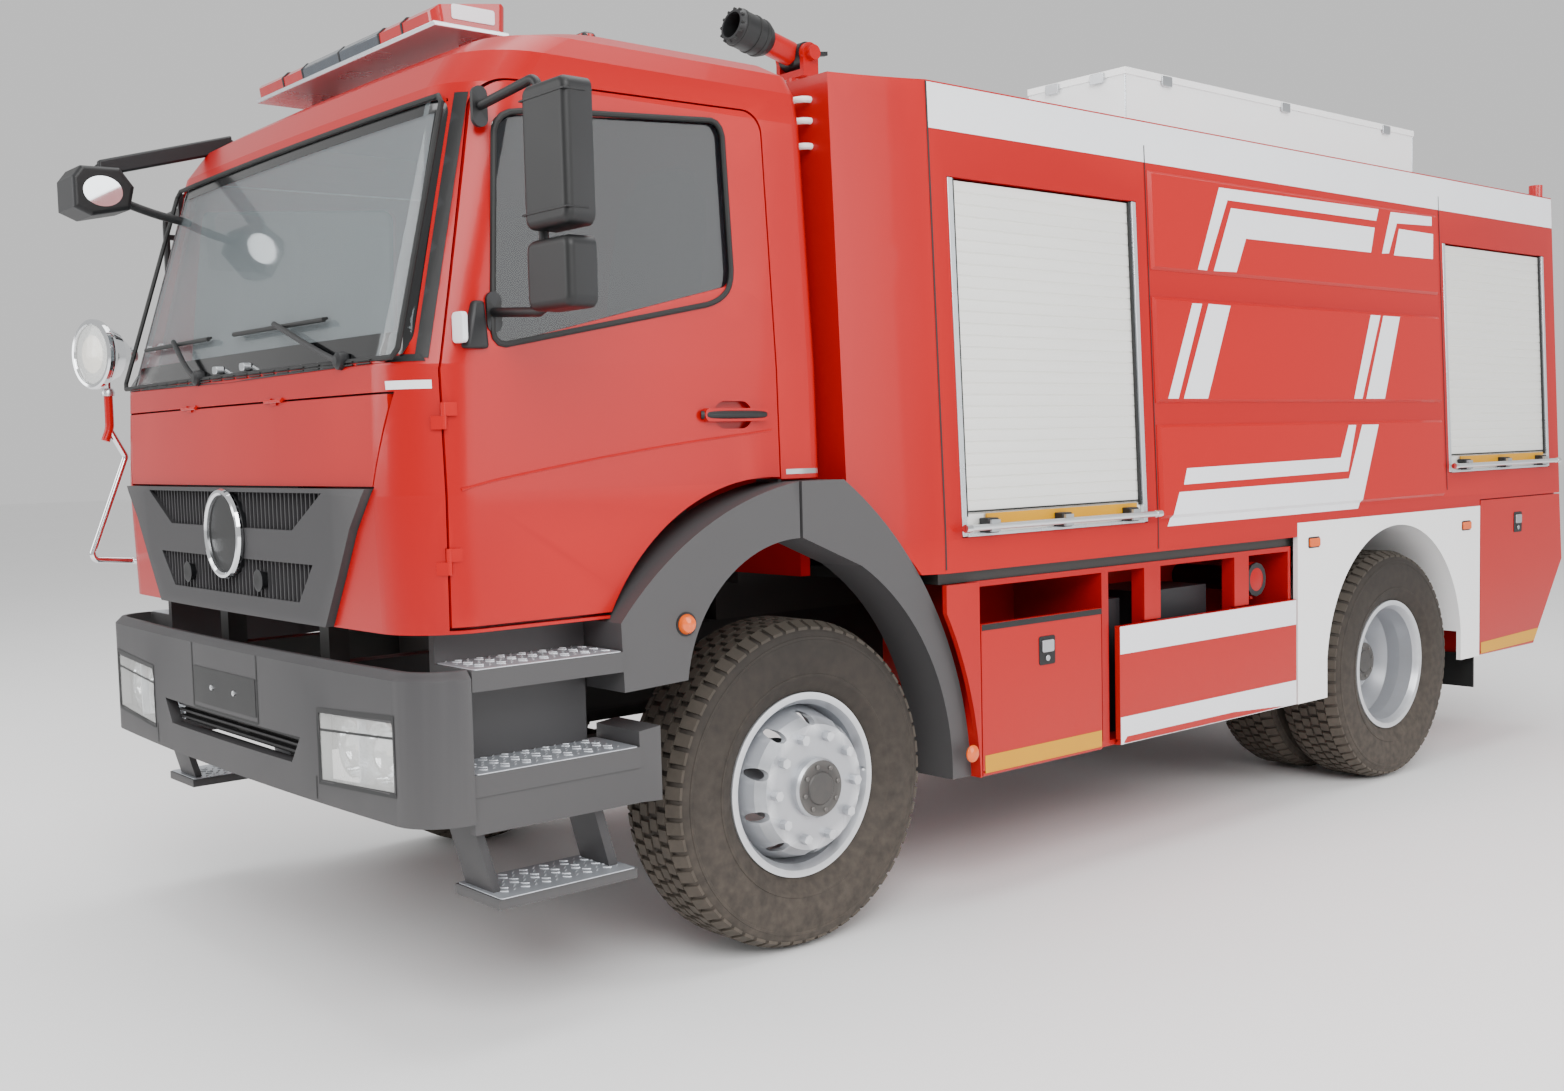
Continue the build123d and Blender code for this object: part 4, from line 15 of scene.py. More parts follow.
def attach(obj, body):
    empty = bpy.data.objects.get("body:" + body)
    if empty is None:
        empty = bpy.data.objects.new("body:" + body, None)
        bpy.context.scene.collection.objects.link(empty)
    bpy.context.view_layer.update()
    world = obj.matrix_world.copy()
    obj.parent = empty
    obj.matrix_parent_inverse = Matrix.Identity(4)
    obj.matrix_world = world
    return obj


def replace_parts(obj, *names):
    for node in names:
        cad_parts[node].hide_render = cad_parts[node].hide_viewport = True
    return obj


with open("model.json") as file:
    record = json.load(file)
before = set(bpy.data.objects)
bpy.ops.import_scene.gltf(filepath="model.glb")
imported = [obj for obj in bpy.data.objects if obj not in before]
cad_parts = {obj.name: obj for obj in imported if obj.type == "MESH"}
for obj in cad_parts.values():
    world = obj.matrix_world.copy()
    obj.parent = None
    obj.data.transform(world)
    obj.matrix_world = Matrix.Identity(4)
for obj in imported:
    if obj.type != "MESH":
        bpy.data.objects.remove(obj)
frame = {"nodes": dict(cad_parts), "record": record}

Point2 = tuple[float, float]
Point3 = tuple[float, float, float]
LOG = logging.getLogger("fire_truck")
MM = 0.001
A = -1905.0
SIDES = (1, -1)
SIDE_NAMES = {1: "left", -1: "right"}
CAB_FRONT = A - 1385
BODY_FRONT = A + 549
BODY_REAR = A + 5290
CAB_HALF = 1140
CAB_CROWN = 25
CAB_FRONT_LEVELS = ((1140, CAB_FRONT + 12), (1515, CAB_FRONT), (1865, CAB_FRONT + 14), (2640, A - 1145))
CAB_SIDE_LEVELS = ((1140, 1140), (1515, 1140), (1865, 1132), (2640, 1082))
BODY_HALF = 1250
BODY_LEAN = 58 / 1536
BODY_LEAN_FROM = 1290
AXLE_Z = 532
# A wave texture draws this many bands in one unit at a scale of one
BANDS_PER_UNIT = 20
SMOOTH_DEGREES = 34
BEVEL_DEGREES = 40
RAY_START_M = 8.0


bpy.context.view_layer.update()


# Finishes


def linear(code: str) -> tuple[float, float, float, float]:
    """Turn an sRGB hex colour into linear light.

    Args:
        code: Six hex digits after a hash sign.

    Returns:
        Linear red, green and blue, and an alpha of one.
    """
    shares = [int(code[i:i + 2], 16) / 255 for i in (1, 3, 5)]
    light = [s / 12.92 if s <= 0.04045 else ((s + 0.055) / 1.055) ** 2.4 for s in shares]
    return (light[0], light[1], light[2], 1.0)


def add_node(tree: bpy.types.NodeTree, kind: str, settings: dict[Any, Any] | None = None,
             links: dict[Any, Any] | None = None) -> bpy.types.Node:
    """Add a node, give its sockets and fields their values, and link its inputs.

    Args:
        tree: The material's node tree.
        kind: The node's type name.
        settings: Values by input name, input number or field name.
        links: Source sockets by input name or number.

    Returns:
        The new node.
    """
    node = tree.nodes.new(kind)
    for key, value in (settings or {}).items():
        if isinstance(key, str) and hasattr(node, key):
            setattr(node, key, value)
    for key, value in (settings or {}).items():
        if not (isinstance(key, str) and hasattr(node, key)):
            node.inputs[key].default_value = value
    for key, socket in (links or {}).items():
        tree.links.new(socket, node.inputs[key])
    return node


@dataclass(frozen=True)
class Finish:
    """One real material with the unevenness that its making and use leave on it, and a painted highlight
    along its sharp edges where an edge colour is given.
    """

    name: str
    colour: str
    drift: str
    roughness: float
    grain_mm: float = 2.0
    relief_mm: float = 0.05
    drift_mm: float = 500.0
    # Lighter colour of the painted highlight along sharp edges; empty for none
    edge: str = ""
    metallic: float = 0.0
    ior: float = 1.5
    coat: float = 0.0
    alpha: float = 1.0
    sheen: float = 0.0
    glow: float = 0.0
    rough_swing: float = 0.06
    specular: float = 0.5

    def material(self) -> bpy.types.Material:
        """Return the finish as a material, made once."""
        known = bpy.data.materials.get(self.name)
        if known:
            return known
        made = bpy.data.materials.new(self.name)
        made.use_nodes = True
        tree = made.node_tree
        tree.nodes.clear()
        shader = add_node(tree, "ShaderNodeBsdfPrincipled", {
            "Metallic": self.metallic, "IOR": self.ior, "Coat Weight": self.coat, "Coat Roughness": 0.04,
            "Sheen Weight": self.sheen, "Alpha": self.alpha, "Specular IOR Level": self.specular})
        if self.glow:
            shader.inputs["Emission Color"].default_value = linear(self.colour)
            shader.inputs["Emission Strength"].default_value = self.glow
        add_node(tree, "ShaderNodeOutputMaterial", None, {"Surface": shader.outputs[0]})
        place = add_node(tree, "ShaderNodeTexCoord").outputs["Object"]
        self.dress(tree, shader, place)
        return made

    def dress(self, tree: bpy.types.NodeTree, shader: bpy.types.Node, place: bpy.types.NodeSocket) -> None:
        """Link colour, roughness and relief to the shader.

        Args:
            tree: The material's node tree.
            shader: The surface shader.
            place: The point on the piece, in metres.
        """
        cloud = add_node(tree, "ShaderNodeTexNoise", {"Scale": 1000 / self.drift_mm, "Detail": 4.0},
                         {"Vector": place})
        colour = add_node(tree, "ShaderNodeMix",
                          {"data_type": "RGBA", 6: linear(self.colour), 7: linear(self.drift)},
                          {0: cloud.outputs[0]}).outputs[2]
        # Painted highlight: sharply convex places take the lighter edge colour, as if they caught the light
        if self.edge:
            painted_edge_highlight = add_node(tree, "ShaderNodeMapRange", {"From Min": 0.53, "From Max": 0.62},
                             {"Value": add_node(tree, "ShaderNodeNewGeometry").outputs["Pointiness"]})
            colour = add_node(tree, "ShaderNodeMix", {"data_type": "RGBA", 7: linear(self.edge)},
                              {0: painted_edge_highlight.outputs[0], 6: colour}).outputs[2]
        height = self.relief(tree, place)
        colour = self.tint(tree, place, colour)
        tree.links.new(colour, shader.inputs["Base Color"])
        rough = add_node(tree, "ShaderNodeMapRange", {
            "To Min": max(self.roughness - self.rough_swing, 0.0),
            "To Max": self.roughness + self.rough_swing}, {"Value": cloud.outputs[0]})
        tree.links.new(rough.outputs[0], shader.inputs["Roughness"])
        bump = add_node(tree, "ShaderNodeBump", {"Strength": 1.0, "Distance": self.relief_mm * MM},
                        {"Height": height})
        tree.links.new(bump.outputs[0], shader.inputs["Normal"])

    def relief(self, tree: bpy.types.NodeTree, place: bpy.types.NodeSocket) -> bpy.types.NodeSocket:
        """Return the height of the fine grain, from zero to one."""
        return add_node(tree, "ShaderNodeTexNoise", {"Scale": 1000 / self.grain_mm, "Detail": 2.0},
                        {"Vector": place}).outputs[0]

    def tint(self, tree: bpy.types.NodeTree, place: bpy.types.NodeSocket,
             colour: bpy.types.NodeSocket) -> bpy.types.NodeSocket:
        """Return the colour with any pattern laid over it; a plain finish keeps its colour."""
        return colour


@dataclass(frozen=True)
class RunDown(Finish):
    """Finish with dust that settled low on the vehicle and thins out upwards."""

    dust: str = "#9A8F80"
    dust_top_m: float = 0.9
    dust_share: float = 0.35

    def tint(self, tree: bpy.types.NodeTree, place: bpy.types.NodeSocket,
             colour: bpy.types.NodeSocket) -> bpy.types.NodeSocket:
        """Return the colour with dust mixed in towards the ground."""
        height = add_node(tree, "ShaderNodeSeparateXYZ", None, {0: place}).outputs["Z"]
        low = add_node(tree, "ShaderNodeMapRange", {"From Min": self.dust_top_m, "From Max": 0.0,
                                                    "To Max": self.dust_share}, {"Value": height})
        specks = add_node(tree, "ShaderNodeTexNoise", {"Scale": 30.0, "Detail": 6.0}, {"Vector": place})
        amount = add_node(tree, "ShaderNodeMath", {"operation": "MULTIPLY"},
                          {0: low.outputs[0], 1: specks.outputs[0]})
        return add_node(tree, "ShaderNodeMix", {"data_type": "RGBA", 7: linear(self.dust)},
                        {0: amount.outputs[0], 6: colour}).outputs[2]


@dataclass(frozen=True)
class Perforated(Finish):
    """Sheet with rows of punched round holes."""

    pitch_mm: float = 34.0
    hole: str = "#A6A8AA"

    def tint(self, tree: bpy.types.NodeTree, place: bpy.types.NodeSocket,
             colour: bpy.types.NodeSocket) -> bpy.types.NodeSocket:
        """Return the colour darkened where the sheet is punched."""
        dots = add_node(tree, "ShaderNodeTexVoronoi", {"Scale": 1000 / self.pitch_mm, "Randomness": 0.0},
                        {"Vector": place})
        hole = add_node(tree, "ShaderNodeMapRange", {"From Min": 0.24, "From Max": 0.18},
                        {"Value": dots.outputs["Distance"]})
        return add_node(tree, "ShaderNodeMix", {"data_type": "RGBA", 7: linear(self.hole)},
                        {0: hole.outputs[0], 6: colour}).outputs[2]


@dataclass(frozen=True)
class Woven(Finish):
    """Cloth with warp and weft crossing at a thread spacing."""

    thread_mm: float = 4.0

    def relief(self, tree: bpy.types.NodeTree, place: bpy.types.NodeSocket) -> bpy.types.NodeSocket:
        """Return the height of the crossing threads, from zero to one."""
        turns = 1000 / self.thread_mm / BANDS_PER_UNIT
        warp = add_node(tree, "ShaderNodeTexWave", {"bands_direction": "X", "Scale": turns},
                        {"Vector": place})
        weft = add_node(tree, "ShaderNodeTexWave", {"bands_direction": "Z", "Scale": turns},
                        {"Vector": place})
        return add_node(tree, "ShaderNodeMath", {"operation": "MAXIMUM"},
                        {0: warp.outputs[1], 1: weft.outputs[1]}).outputs[0]


@dataclass(frozen=True)
class Ribbed(Finish):
    """Moulded or rolled sheet with straight ribs along one direction."""

    rib_mm: float = 12.0
    across: str = "Z"

    def relief(self, tree: bpy.types.NodeTree, place: bpy.types.NodeSocket) -> bpy.types.NodeSocket:
        """Return the height of the ribs, from zero to one."""
        return add_node(tree, "ShaderNodeTexWave",
                        {"bands_direction": self.across, "Scale": 1000 / self.rib_mm / BANDS_PER_UNIT},
                        {"Vector": place}).outputs[1]


# Where a finish gives an eighth value, it is the lighter colour of its painted edge highlight
# Sprayed and baked enamel: a deep, even colour under a wet-looking coat with faint orange peel
RED = Finish("red_enamel", "#A40003", "#AC0005", 0.3, 9.0, 0.06, 900.0, "#B20C0C", coat=0.08,
             rough_swing=0.03, specular=0.28)
# Low red: the same enamel made a shade darker as painted shade on the low parts, with a little dust
LOW_RED = RunDown("red_enamel_low", "#A00003", "#A80005", 0.32, 9.0, 0.06, 700.0, "#AE0E0C", coat=0.08,
                  dust_share=0.1, specular=0.28)
WHITE = Finish("white_enamel", "#E9EAEC", "#F1F1F0", 0.26, 9.0, 0.06, 900.0, "#F6F6F6", coat=0.6,
               rough_swing=0.03)
HOLED = Perforated("punched_white_sheet", "#EDEEEF", "#F3F3F3", 0.32, 6.0, 0.1, 700.0, coat=0.3)
# Brushed-on chassis paint: satin black that takes road dust
CHASSIS = RunDown("chassis_black", "#0D0D0E", "#151514", 0.5, 4.0, 0.25, 300.0, "#2A2927", dust="#5A5248",
                  dust_share=0.5)
# Moulded ABS: leather grain that scatters the light into a soft grey sheen
GREY_ABS = RunDown("grained_grey_abs", "#2D2C2E", "#353436", 0.55, 1.8, 0.22, 350.0, "#454445", ior=1.46,
                   dust="#5A5650", dust_share=0.22)
BLACK_ABS = Finish("grained_black_abs", "#0B0B0C", "#121314", 0.48, 1.8, 0.18, 250.0, "#1E1F22", ior=1.46)
MESH_BLACK = Finish("moulded_black_mesh", "#1B1A1B", "#232223", 0.6, 1.5, 0.1, 200.0, ior=1.46)
RUBBER_SEAL = Finish("extruded_rubber", "#070808", "#0E0F0F", 0.6, 1.2, 0.1, 200.0, ior=1.52)
# Laminated glass: a thin grey veil painted into its colour as the sky's reflection, over the dim cab
SCREEN_GLASS = Finish("laminated_glass", "#7E888C", "#9AA3A6", 0.05, 300.0, 0.05, 1200.0, alpha=0.36,
                      coat=0.3, ior=1.52, rough_swing=0.02)
DOOR_GLASS = Finish("tinted_glass", "#0E1216", "#1C2328", 0.05, 300.0, 0.05, 900.0, alpha=0.72, coat=0.1,
                    ior=1.52, rough_swing=0.02)
FRIT = Finish("fired_black_frit", "#08090A", "#0E0F11", 0.15, 3.0, 0.02, 200.0, coat=0.2, rough_swing=0.03)
# Moulded polycarbonate: fluted and clear, it sparkles over the reflectors
LAMP_LENS = Ribbed("fluted_polycarbonate", "#EFF1EE", "#F6F6F2", 0.06, 3.0, 0.4, 300.0, ior=1.58, alpha=0.34,
                   coat=0.8, rib_mm=16.0, across="X", rough_swing=0.03)
RED_LENS = Ribbed("red_polycarbonate", "#A80008", "#B8030C", 0.16, 3.0, 0.5, 400.0, ior=1.58, coat=0.4,
                  rib_mm=14.0, across="X", rough_swing=0.04)
SMOKE_LENS = Ribbed("smoked_polycarbonate", "#2E3640", "#465059", 0.16, 3.0, 0.5, 400.0, ior=1.58, coat=0.4,
                    rib_mm=14.0, across="X", rough_swing=0.04)
AMBER_LENS = Ribbed("amber_polycarbonate", "#D85000", "#E46400", 0.2, 3.0, 0.4, 200.0, ior=1.58, coat=0.2,
                    rib_mm=7.0, across="Z")
WARM_LENS = Finish("lit_glass", "#F4EFE6", "#FFF9EC", 0.08, 8.0, 0.2, 200.0, ior=1.52, coat=0.9, glow=0.1)
# Lacquered pressed steel: fine silver flake that stays smooth over the disc
WHEEL_SILVER = RunDown("silver_wheel_lacquer", "#A9ACB2", "#B8BBC0", 0.34, 0.8, 0.05, 250.0, "#D9DCE0",
                       metallic=0.55, coat=0.3, dust_share=0.3)
# Vulcanised rubber: dull warm black, paler where the tread has met dust, and lighter on its sharp edges by a
# painted highlight
TYRE = RunDown("vulcanised_rubber", "#1D1A18", "#282421", 0.8, 3.0, 0.3, 160.0, "#3B3630", ior=1.4,
               dust="#766B60", dust_top_m=1.2, dust_share=0.55)
# Anodised slats: satin off-white metal with a soft band of light on each
SLATS = Finish("anodised_aluminium", "#D9D9D4", "#E4E4DF", 0.4, 1.5, 0.05, 700.0, "#F2F2EE", metallic=0.35)
EXTRUDED = Finish("bright_extruded_aluminium", "#D5DAE0", "#E6EAEE", 0.28, 1.0, 0.04, 300.0, metallic=0.75)
TREAD = Finish("pressed_aluminium_tread", "#B9BEC6", "#CDD1D8", 0.38, 1.2, 0.15, 120.0, "#EEF0F2",
               metallic=0.7)
BRUSHED = Finish("brushed_steel", "#A9ADB1", "#C4C7CA", 0.3, 0.7, 0.05, 200.0, "#E0E3E5", metallic=0.9)
DARK_STEEL = RunDown("oiled_cast_iron", "#39393B", "#4A4948", 0.5, 2.0, 0.3, 100.0, "#6A6866", metallic=0.4,
                     dust_share=0.3)
CHROME = Finish("plated_chrome", "#D8DBDE", "#E9EBED", 0.07, 5.0, 0.01, 300.0, metallic=1.0, rough_swing=0.03)
MIRROR = Finish("silvered_glass", "#C9CFD3", "#E2E6E8", 0.04, 50.0, 0.01, 300.0, metallic=1.0,
                rough_swing=0.02)
# Retroreflective film: flat, strong colour with a fine beaded surface
YELLOW = Finish("yellow_reflective_film", "#C88C00", "#D09600", 0.35, 1.5, 0.05, 200.0, specular=0.3)
WHITE_FILM = Finish("white_reflective_film", "#E7E9EE", "#F0F2F5", 0.34, 1.5, 0.04, 500.0, coat=0.2)
# Woven seat cloth and its moulded shell
CLOTH = Woven("woven_seat_cloth", "#2E3036", "#3A3D44", 0.85, 1.0, 0.6, 120.0, sheen=0.4)
VINYL = Finish("embossed_vinyl", "#26272B", "#303136", 0.5, 2.0, 0.2, 150.0, ior=1.46)
# Brushed concrete painted white: nearly even, with a faint soft gloss
FLOOR = Finish("white_studio_floor", "#F4F4F4", "#F8F8F8", 0.6, 30.0, 0.05, 3000.0)

BY_SLOT = {
    "red_paint": RED, "white_paint": WHITE, "dark_paint": CHASSIS, "grey_plastic": GREY_ABS,
    "black_plastic": BLACK_ABS,
    "clear_glass": SCREEN_GLASS, "lamp_glass": LAMP_LENS, "red_lens": RED_LENS, "wheel_steel": WHEEL_SILVER,
    "tyre_rubber": TYRE, "shutter_aluminium": SLATS, "bright_steel": BRUSHED, "lamp_chrome": CHROME,
    "seat_cloth": CLOTH,
}
BY_NODE = {
    "door_glass_left": DOOR_GLASS, "door_glass_right": DOOR_GLASS, "roof_locker": HOLED,
    "lower_boxes": LOW_RED, "box_door_left": LOW_RED, "box_door_right": LOW_RED, "side_flap_left": LOW_RED,
    "side_flap_right": LOW_RED, "rear_door_left": LOW_RED, "rear_door_right": LOW_RED,
}


class View(Enum):
    """The side that a film is laid on from: the drawing's two axes, the depth axis and its sign."""

    LEFT = (1, 2, 0, 1)
    RIGHT = (1, 2, 0, -1)
    FRONT = (0, 2, 1, -1)

    def point(self, across: float, up: float, depth: float) -> Vector:
        """Place a drawn point at a depth."""
        at = [0.0, 0.0, 0.0]
        at[self.value[0]], at[self.value[1]], at[self.value[2]] = across, up, depth
        return Vector(at)

    def inward(self) -> Vector:
        """Return the direction in which the film is laid on."""
        way = [0.0, 0.0, 0.0]
        way[self.value[2]] = -float(self.value[3])
        return Vector(way)


class Mould:
    """Gathers the meshes of one piece, drawn in the part's millimetres."""

    def __init__(self) -> None:
        """Start empty."""
        self.mesh = bmesh.new()

    def prism(self, points: Sequence[Point3], sweep: Point3) -> "Mould":
        """Push a flat outline along a direction.

        Args:
            points: The outline's corners in order.
            sweep: How far and which way it is pushed.

        Returns:
            The mould.
        """
        return self.hull(points, [tuple(Vector(p) + Vector(sweep)) for p in points])

    def block(self, x: Point2, y: Point2, z: Point2) -> "Mould":
        """Add a block between two values on each axis."""
        return self.taper((x, y, z[0]), (x, y, z[1]))

    def pad(self, x: Point2, y: Point2, z: Point2, radius: float, face: int) -> "Mould":
        """Add a plate whose corners are rounded, seen along one axis.

        Args:
            x: Its two values along X.
            y: Its two values along Y.
            z: Its two values along Z.
            radius: Corner radius.
            face: The axis that it faces, 0 to 2.

        Returns:
            The mould.
        """
        spans = [x, y, z]
        u, v = [spans[i] for i in range(3) if i != face]
        ring = []
        for cu, cv, start in ((u[1] - radius, v[1] - radius, 0), (u[0] + radius, v[1] - radius, 90),
                              (u[0] + radius, v[0] + radius, 180), (u[1] - radius, v[0] + radius, 270)):
            for step in range(7):
                turn = math.radians(start + 15 * step)
                ring.append((cu + radius * math.cos(turn), cv + radius * math.sin(turn)))
        points = []
        for a, b in ring:
            at = [a, b]
            at.insert(face, spans[face][0])
            points.append(tuple(at))
        sweep = [0.0, 0.0, 0.0]
        sweep[face] = spans[face][1] - spans[face][0]
        return self.prism(points, tuple(sweep))

    def hull(self, low: Sequence[Point3], high: Sequence[Point3]) -> "Mould":
        """Join two outlines of as many corners into one closed solid."""
        near = [self.mesh.verts.new(Vector(p)) for p in low]
        far = [self.mesh.verts.new(Vector(p)) for p in high]
        self.mesh.faces.new(list(reversed(near)))
        self.mesh.faces.new(far)
        for i in range(len(near)):
            j = (i + 1) % len(near)
            self.mesh.faces.new((near[i], near[j], far[j], far[i]))
        return self

    def taper(self, low: Sequence[Any], high: Sequence[Any]) -> "Mould":
        """Join two level rectangles, each given by its spans along X and Y and its height."""
        return self.hull(*([(x[0], y[0], z), (x[1], y[0], z), (x[1], y[1], z), (x[0], y[1], z)]
                           for x, y, z in (low, high)))

    def turn(self, centre: Point3, axis: Point3, profile: Sequence[Point2], steps: int = 48) -> "Mould":
        """Turn a profile of radius and height about an axis; points on the axis close it.

        Args:
            centre: Where height zero lies.
            axis: The axis direction.
            profile: Radius and height of each point.
            steps: Copies round the axis.

        Returns:
            The mould.
        """
        up = Vector(axis).normalized()
        side = up.orthogonal().normalized()
        other = up.cross(side)
        rings: list[list[bmesh.types.BMVert]] = []
        for radius, height in profile:
            core = Vector(centre) + up * height
            if radius < 1e-6:
                rings.append([self.mesh.verts.new(core)])
                continue
            rings.append([self.mesh.verts.new(core + side * (radius * math.cos(t))
                                              + other * (radius * math.sin(t)))
                          for t in angles(steps)])
        for low, high in zip(rings, rings[1:]):
            for k in range(steps):
                m = (k + 1) % steps
                if len(low) == 1 and len(high) > 1:
                    self.mesh.faces.new((low[0], high[k], high[m]))
                elif len(high) == 1 and len(low) > 1:
                    self.mesh.faces.new((low[k], low[m], high[0]))
                elif len(low) > 1:
                    self.mesh.faces.new((low[k], low[m], high[m], high[k]))
        return self

    def tube(self, route: Sequence[Point3], radius: float, sides: int = 12, rounding: int = 3,
             closed: bool = False) -> "Mould":
        """Sweep a round bar along a route whose corners are rounded off.

        Args:
            route: The corners of the route.
            radius: The bar's radius.
            sides: Facets round the bar.
            rounding: How often the corners are cut.
            closed: Whether the route comes back to its start.

        Returns:
            The mould.
        """
        line = [Vector(p) for p in route]
        for _ in range(rounding):
            cut = []
            count = len(line)
            for i in range(count if closed else count - 1):
                first, second = line[i], line[(i + 1) % count]
                cut += [first.lerp(second, 0.25), first.lerp(second, 0.75)]
            line = cut if closed else [line[0]] + cut + [line[-1]]
        rings = []
        normal = None
        count = len(line)
        for i in range(count):
            ahead = line[(i + 1) % count] if closed or i < count - 1 else line[i]
            behind = line[i - 1] if closed or i > 0 else line[i]
            way = (ahead - behind).normalized()
            normal = way.orthogonal() if normal is None else normal - way * normal.dot(way)
            normal.normalize()
            other = way.cross(normal)
            rings.append([self.mesh.verts.new(line[i] + normal * (radius * math.cos(t))
                                              + other * (radius * math.sin(t)))
                          for t in angles(sides)])
        for i in range(count if closed else count - 1):
            low, high = rings[i], rings[(i + 1) % count]
            for k in range(sides):
                m = (k + 1) % sides
                self.mesh.faces.new((low[k], low[m], high[m], high[k]))
        if not closed:
            self.mesh.faces.new(list(reversed(rings[0])))
            self.mesh.faces.new(rings[-1])
        return self

    def mirrored(self) -> "Mould":
        """Add the right-hand copy of everything so far."""
        kept = list(self.mesh.verts)
        faces = [[v.index for v in f.verts] for f in self._indexed()]
        twins = [self.mesh.verts.new(Vector((-v.co.x, v.co.y, v.co.z))) for v in kept]
        for face in faces:
            self.mesh.faces.new([twins[i] for i in reversed(face)])
        return self

    def to_side(self, side: int) -> "Mould":
        """Flip everything to the right-hand side when the side is minus one."""
        if side < 0:
            bmesh.ops.scale(self.mesh, vec=(-1, 1, 1), verts=list(self.mesh.verts))
            bmesh.ops.reverse_faces(self.mesh, faces=list(self.mesh.faces))
        return self

    def _indexed(self) -> list[bmesh.types.BMFace]:
        """Number the vertices and return the faces."""
        self.mesh.verts.index_update()
        return list(self.mesh.faces)

    def piece(self, name: str, finish: Finish, body: str = "chassis", slot: str | None = None,
              bevel_mm: float = 0.0, subdivide: int = 0, outward: bool = True) -> bpy.types.Object:
        """Close the mould into an object that rides on a body.

        Args:
            name: The piece's name.
            finish: What it is made of.
            body: The body that it moves with.
            slot: The record's material slot, or none; not used.
            bevel_mm: Width of the bevel along its edges.
            subdivide: Levels of subdivision.
            outward: Whether the normals are made to face out.

        Returns:
            The object.
        """
        if outward:
            bmesh.ops.recalc_face_normals(self.mesh, faces=list(self.mesh.faces))
        bmesh.ops.scale(self.mesh, vec=(MM, MM, MM), verts=list(self.mesh.verts))
        data = bpy.data.meshes.new(name)
        self.mesh.to_mesh(data)
        self.mesh.free()
        data.polygons.foreach_set("use_smooth", [True] * len(data.polygons))
        data.set_sharp_from_angle(angle=math.radians(SMOOTH_DEGREES))
        data.materials.append(finish.material())
        made = bpy.data.objects.new(name, data)
        bpy.context.scene.collection.objects.link(made)
        if bevel_mm:
            bevel = made.modifiers.new("edges", "BEVEL")
            bevel.width = bevel_mm * MM
            bevel.segments = 2
            bevel.limit_method = "ANGLE"
            bevel.angle_limit = math.radians(BEVEL_DEGREES)
        if subdivide:
            made.modifiers.new("smooth", "SUBSURF").render_levels = subdivide
            made.modifiers["smooth"].levels = subdivide
        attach(made, body)
        LOG.info("%s rides %s, %d faces", name, body, len(data.polygons))
        return made


@dataclass
class Film:
    """Thin sheet drawn flat and laid on the faces of CAD pieces."""

    name: str
    outlines: list[list[Point2]]
    view: View
    nodes: tuple[str, ...]
    finish: Finish
    body: str = "chassis"
    slot: str | None = None
    lift: float = 1.0
    grid: float = 60.0
    cuts: tuple[float, ...] = ()
    reach: float = 45.0

    def lay(self) -> bpy.types.Object:
        """Return the sheet as an object."""
        mould = Mould()
        for outline in self.outlines:
            mould.mesh.faces.new([mould.mesh.verts.new(self.view.point(a, b, 0.0)) for a, b in outline])
        bmesh.ops.triangulate(mould.mesh, faces=list(mould.mesh.faces))
        self._split(mould.mesh)
        trees = [self._surface(node) for node in self.nodes]
        way = self.view.inward()
        lost = []
        for vert in mould.mesh.verts:
            start = vert.co.copy() * MM - way * RAY_START_M
            hits = [tree.ray_cast(start, way) for tree in trees]
            found = [hit for hit in hits if hit[0] is not None]
            if not found:
                lost.append(vert)
                continue
            spot, normal = min(found, key=lambda hit: hit[3])[:2]
            if normal.dot(way) > 0:
                normal = -normal
            vert.co = spot / MM + normal * self.lift
        bmesh.ops.delete(mould.mesh, geom=self._follow(mould.mesh, lost), context="VERTS")
        for face in mould.mesh.faces:
            face.normal_update()
            if face.normal.dot(way) > 0:
                face.normal_flip()
        return mould.piece(self.name, self.finish, self.body, self.slot, outward=False)

    def _follow(self, mesh: bmesh.types.BMesh, lost: list[bmesh.types.BMVert]) -> list[bmesh.types.BMVert]:
        """Give points just past an edge the depth of the nearest laid point.

        Args:
            mesh: The film.
            lost: Points under which there is no face.

        Returns:
            The points that lie too far from any other.
        """
        across, up, depth, _ = self.view.value
        missed = set(lost)
        laid = [vert for vert in mesh.verts if vert not in missed]
        far = []
        for vert in lost:
            gaps = [((vert.co[across] - v.co[across]) ** 2 + (vert.co[up] - v.co[up]) ** 2, v.co[depth])
                    for v in laid]
            gap, level = min(gaps, default=(math.inf, 0.0))
            if gap > self.reach ** 2:
                far.append(vert)
            vert.co[depth] = level
        return far

    def _split(self, mesh: bmesh.types.BMesh) -> None:
        """Cut the drawing along its grid and its extra lines."""
        for axis, extra in ((self.view.value[0], ()), (self.view.value[1], self.cuts)):
            values = [v.co[axis] for v in mesh.verts]
            low, high = min(values), max(values)
            lines = [low + self.grid * k for k in range(1, int((high - low) / self.grid) + 1)] + list(extra)
            normal = Vector([1.0 if i == axis else 0.0 for i in range(3)])
            for line in lines:
                whole = list(mesh.verts) + list(mesh.edges) + list(mesh.faces)
                bmesh.ops.bisect_plane(mesh, geom=whole, plane_co=normal * line, plane_no=normal)

    @staticmethod
    def _surface(node: str) -> BVHTree:
        """Return the search tree of one CAD piece's faces."""
        data = frame["nodes"][node].data
        return BVHTree.FromPolygons([v.co.copy() for v in data.vertices],
                                    [p.vertices[:] for p in data.polygons])


def band(low: Point2, high: Point2) -> list[Point2]:
    """Return a rectangle's corners between two drawn points."""
    return [(low[0], low[1]), (high[0], low[1]), (high[0], high[1]), (low[0], high[1])]


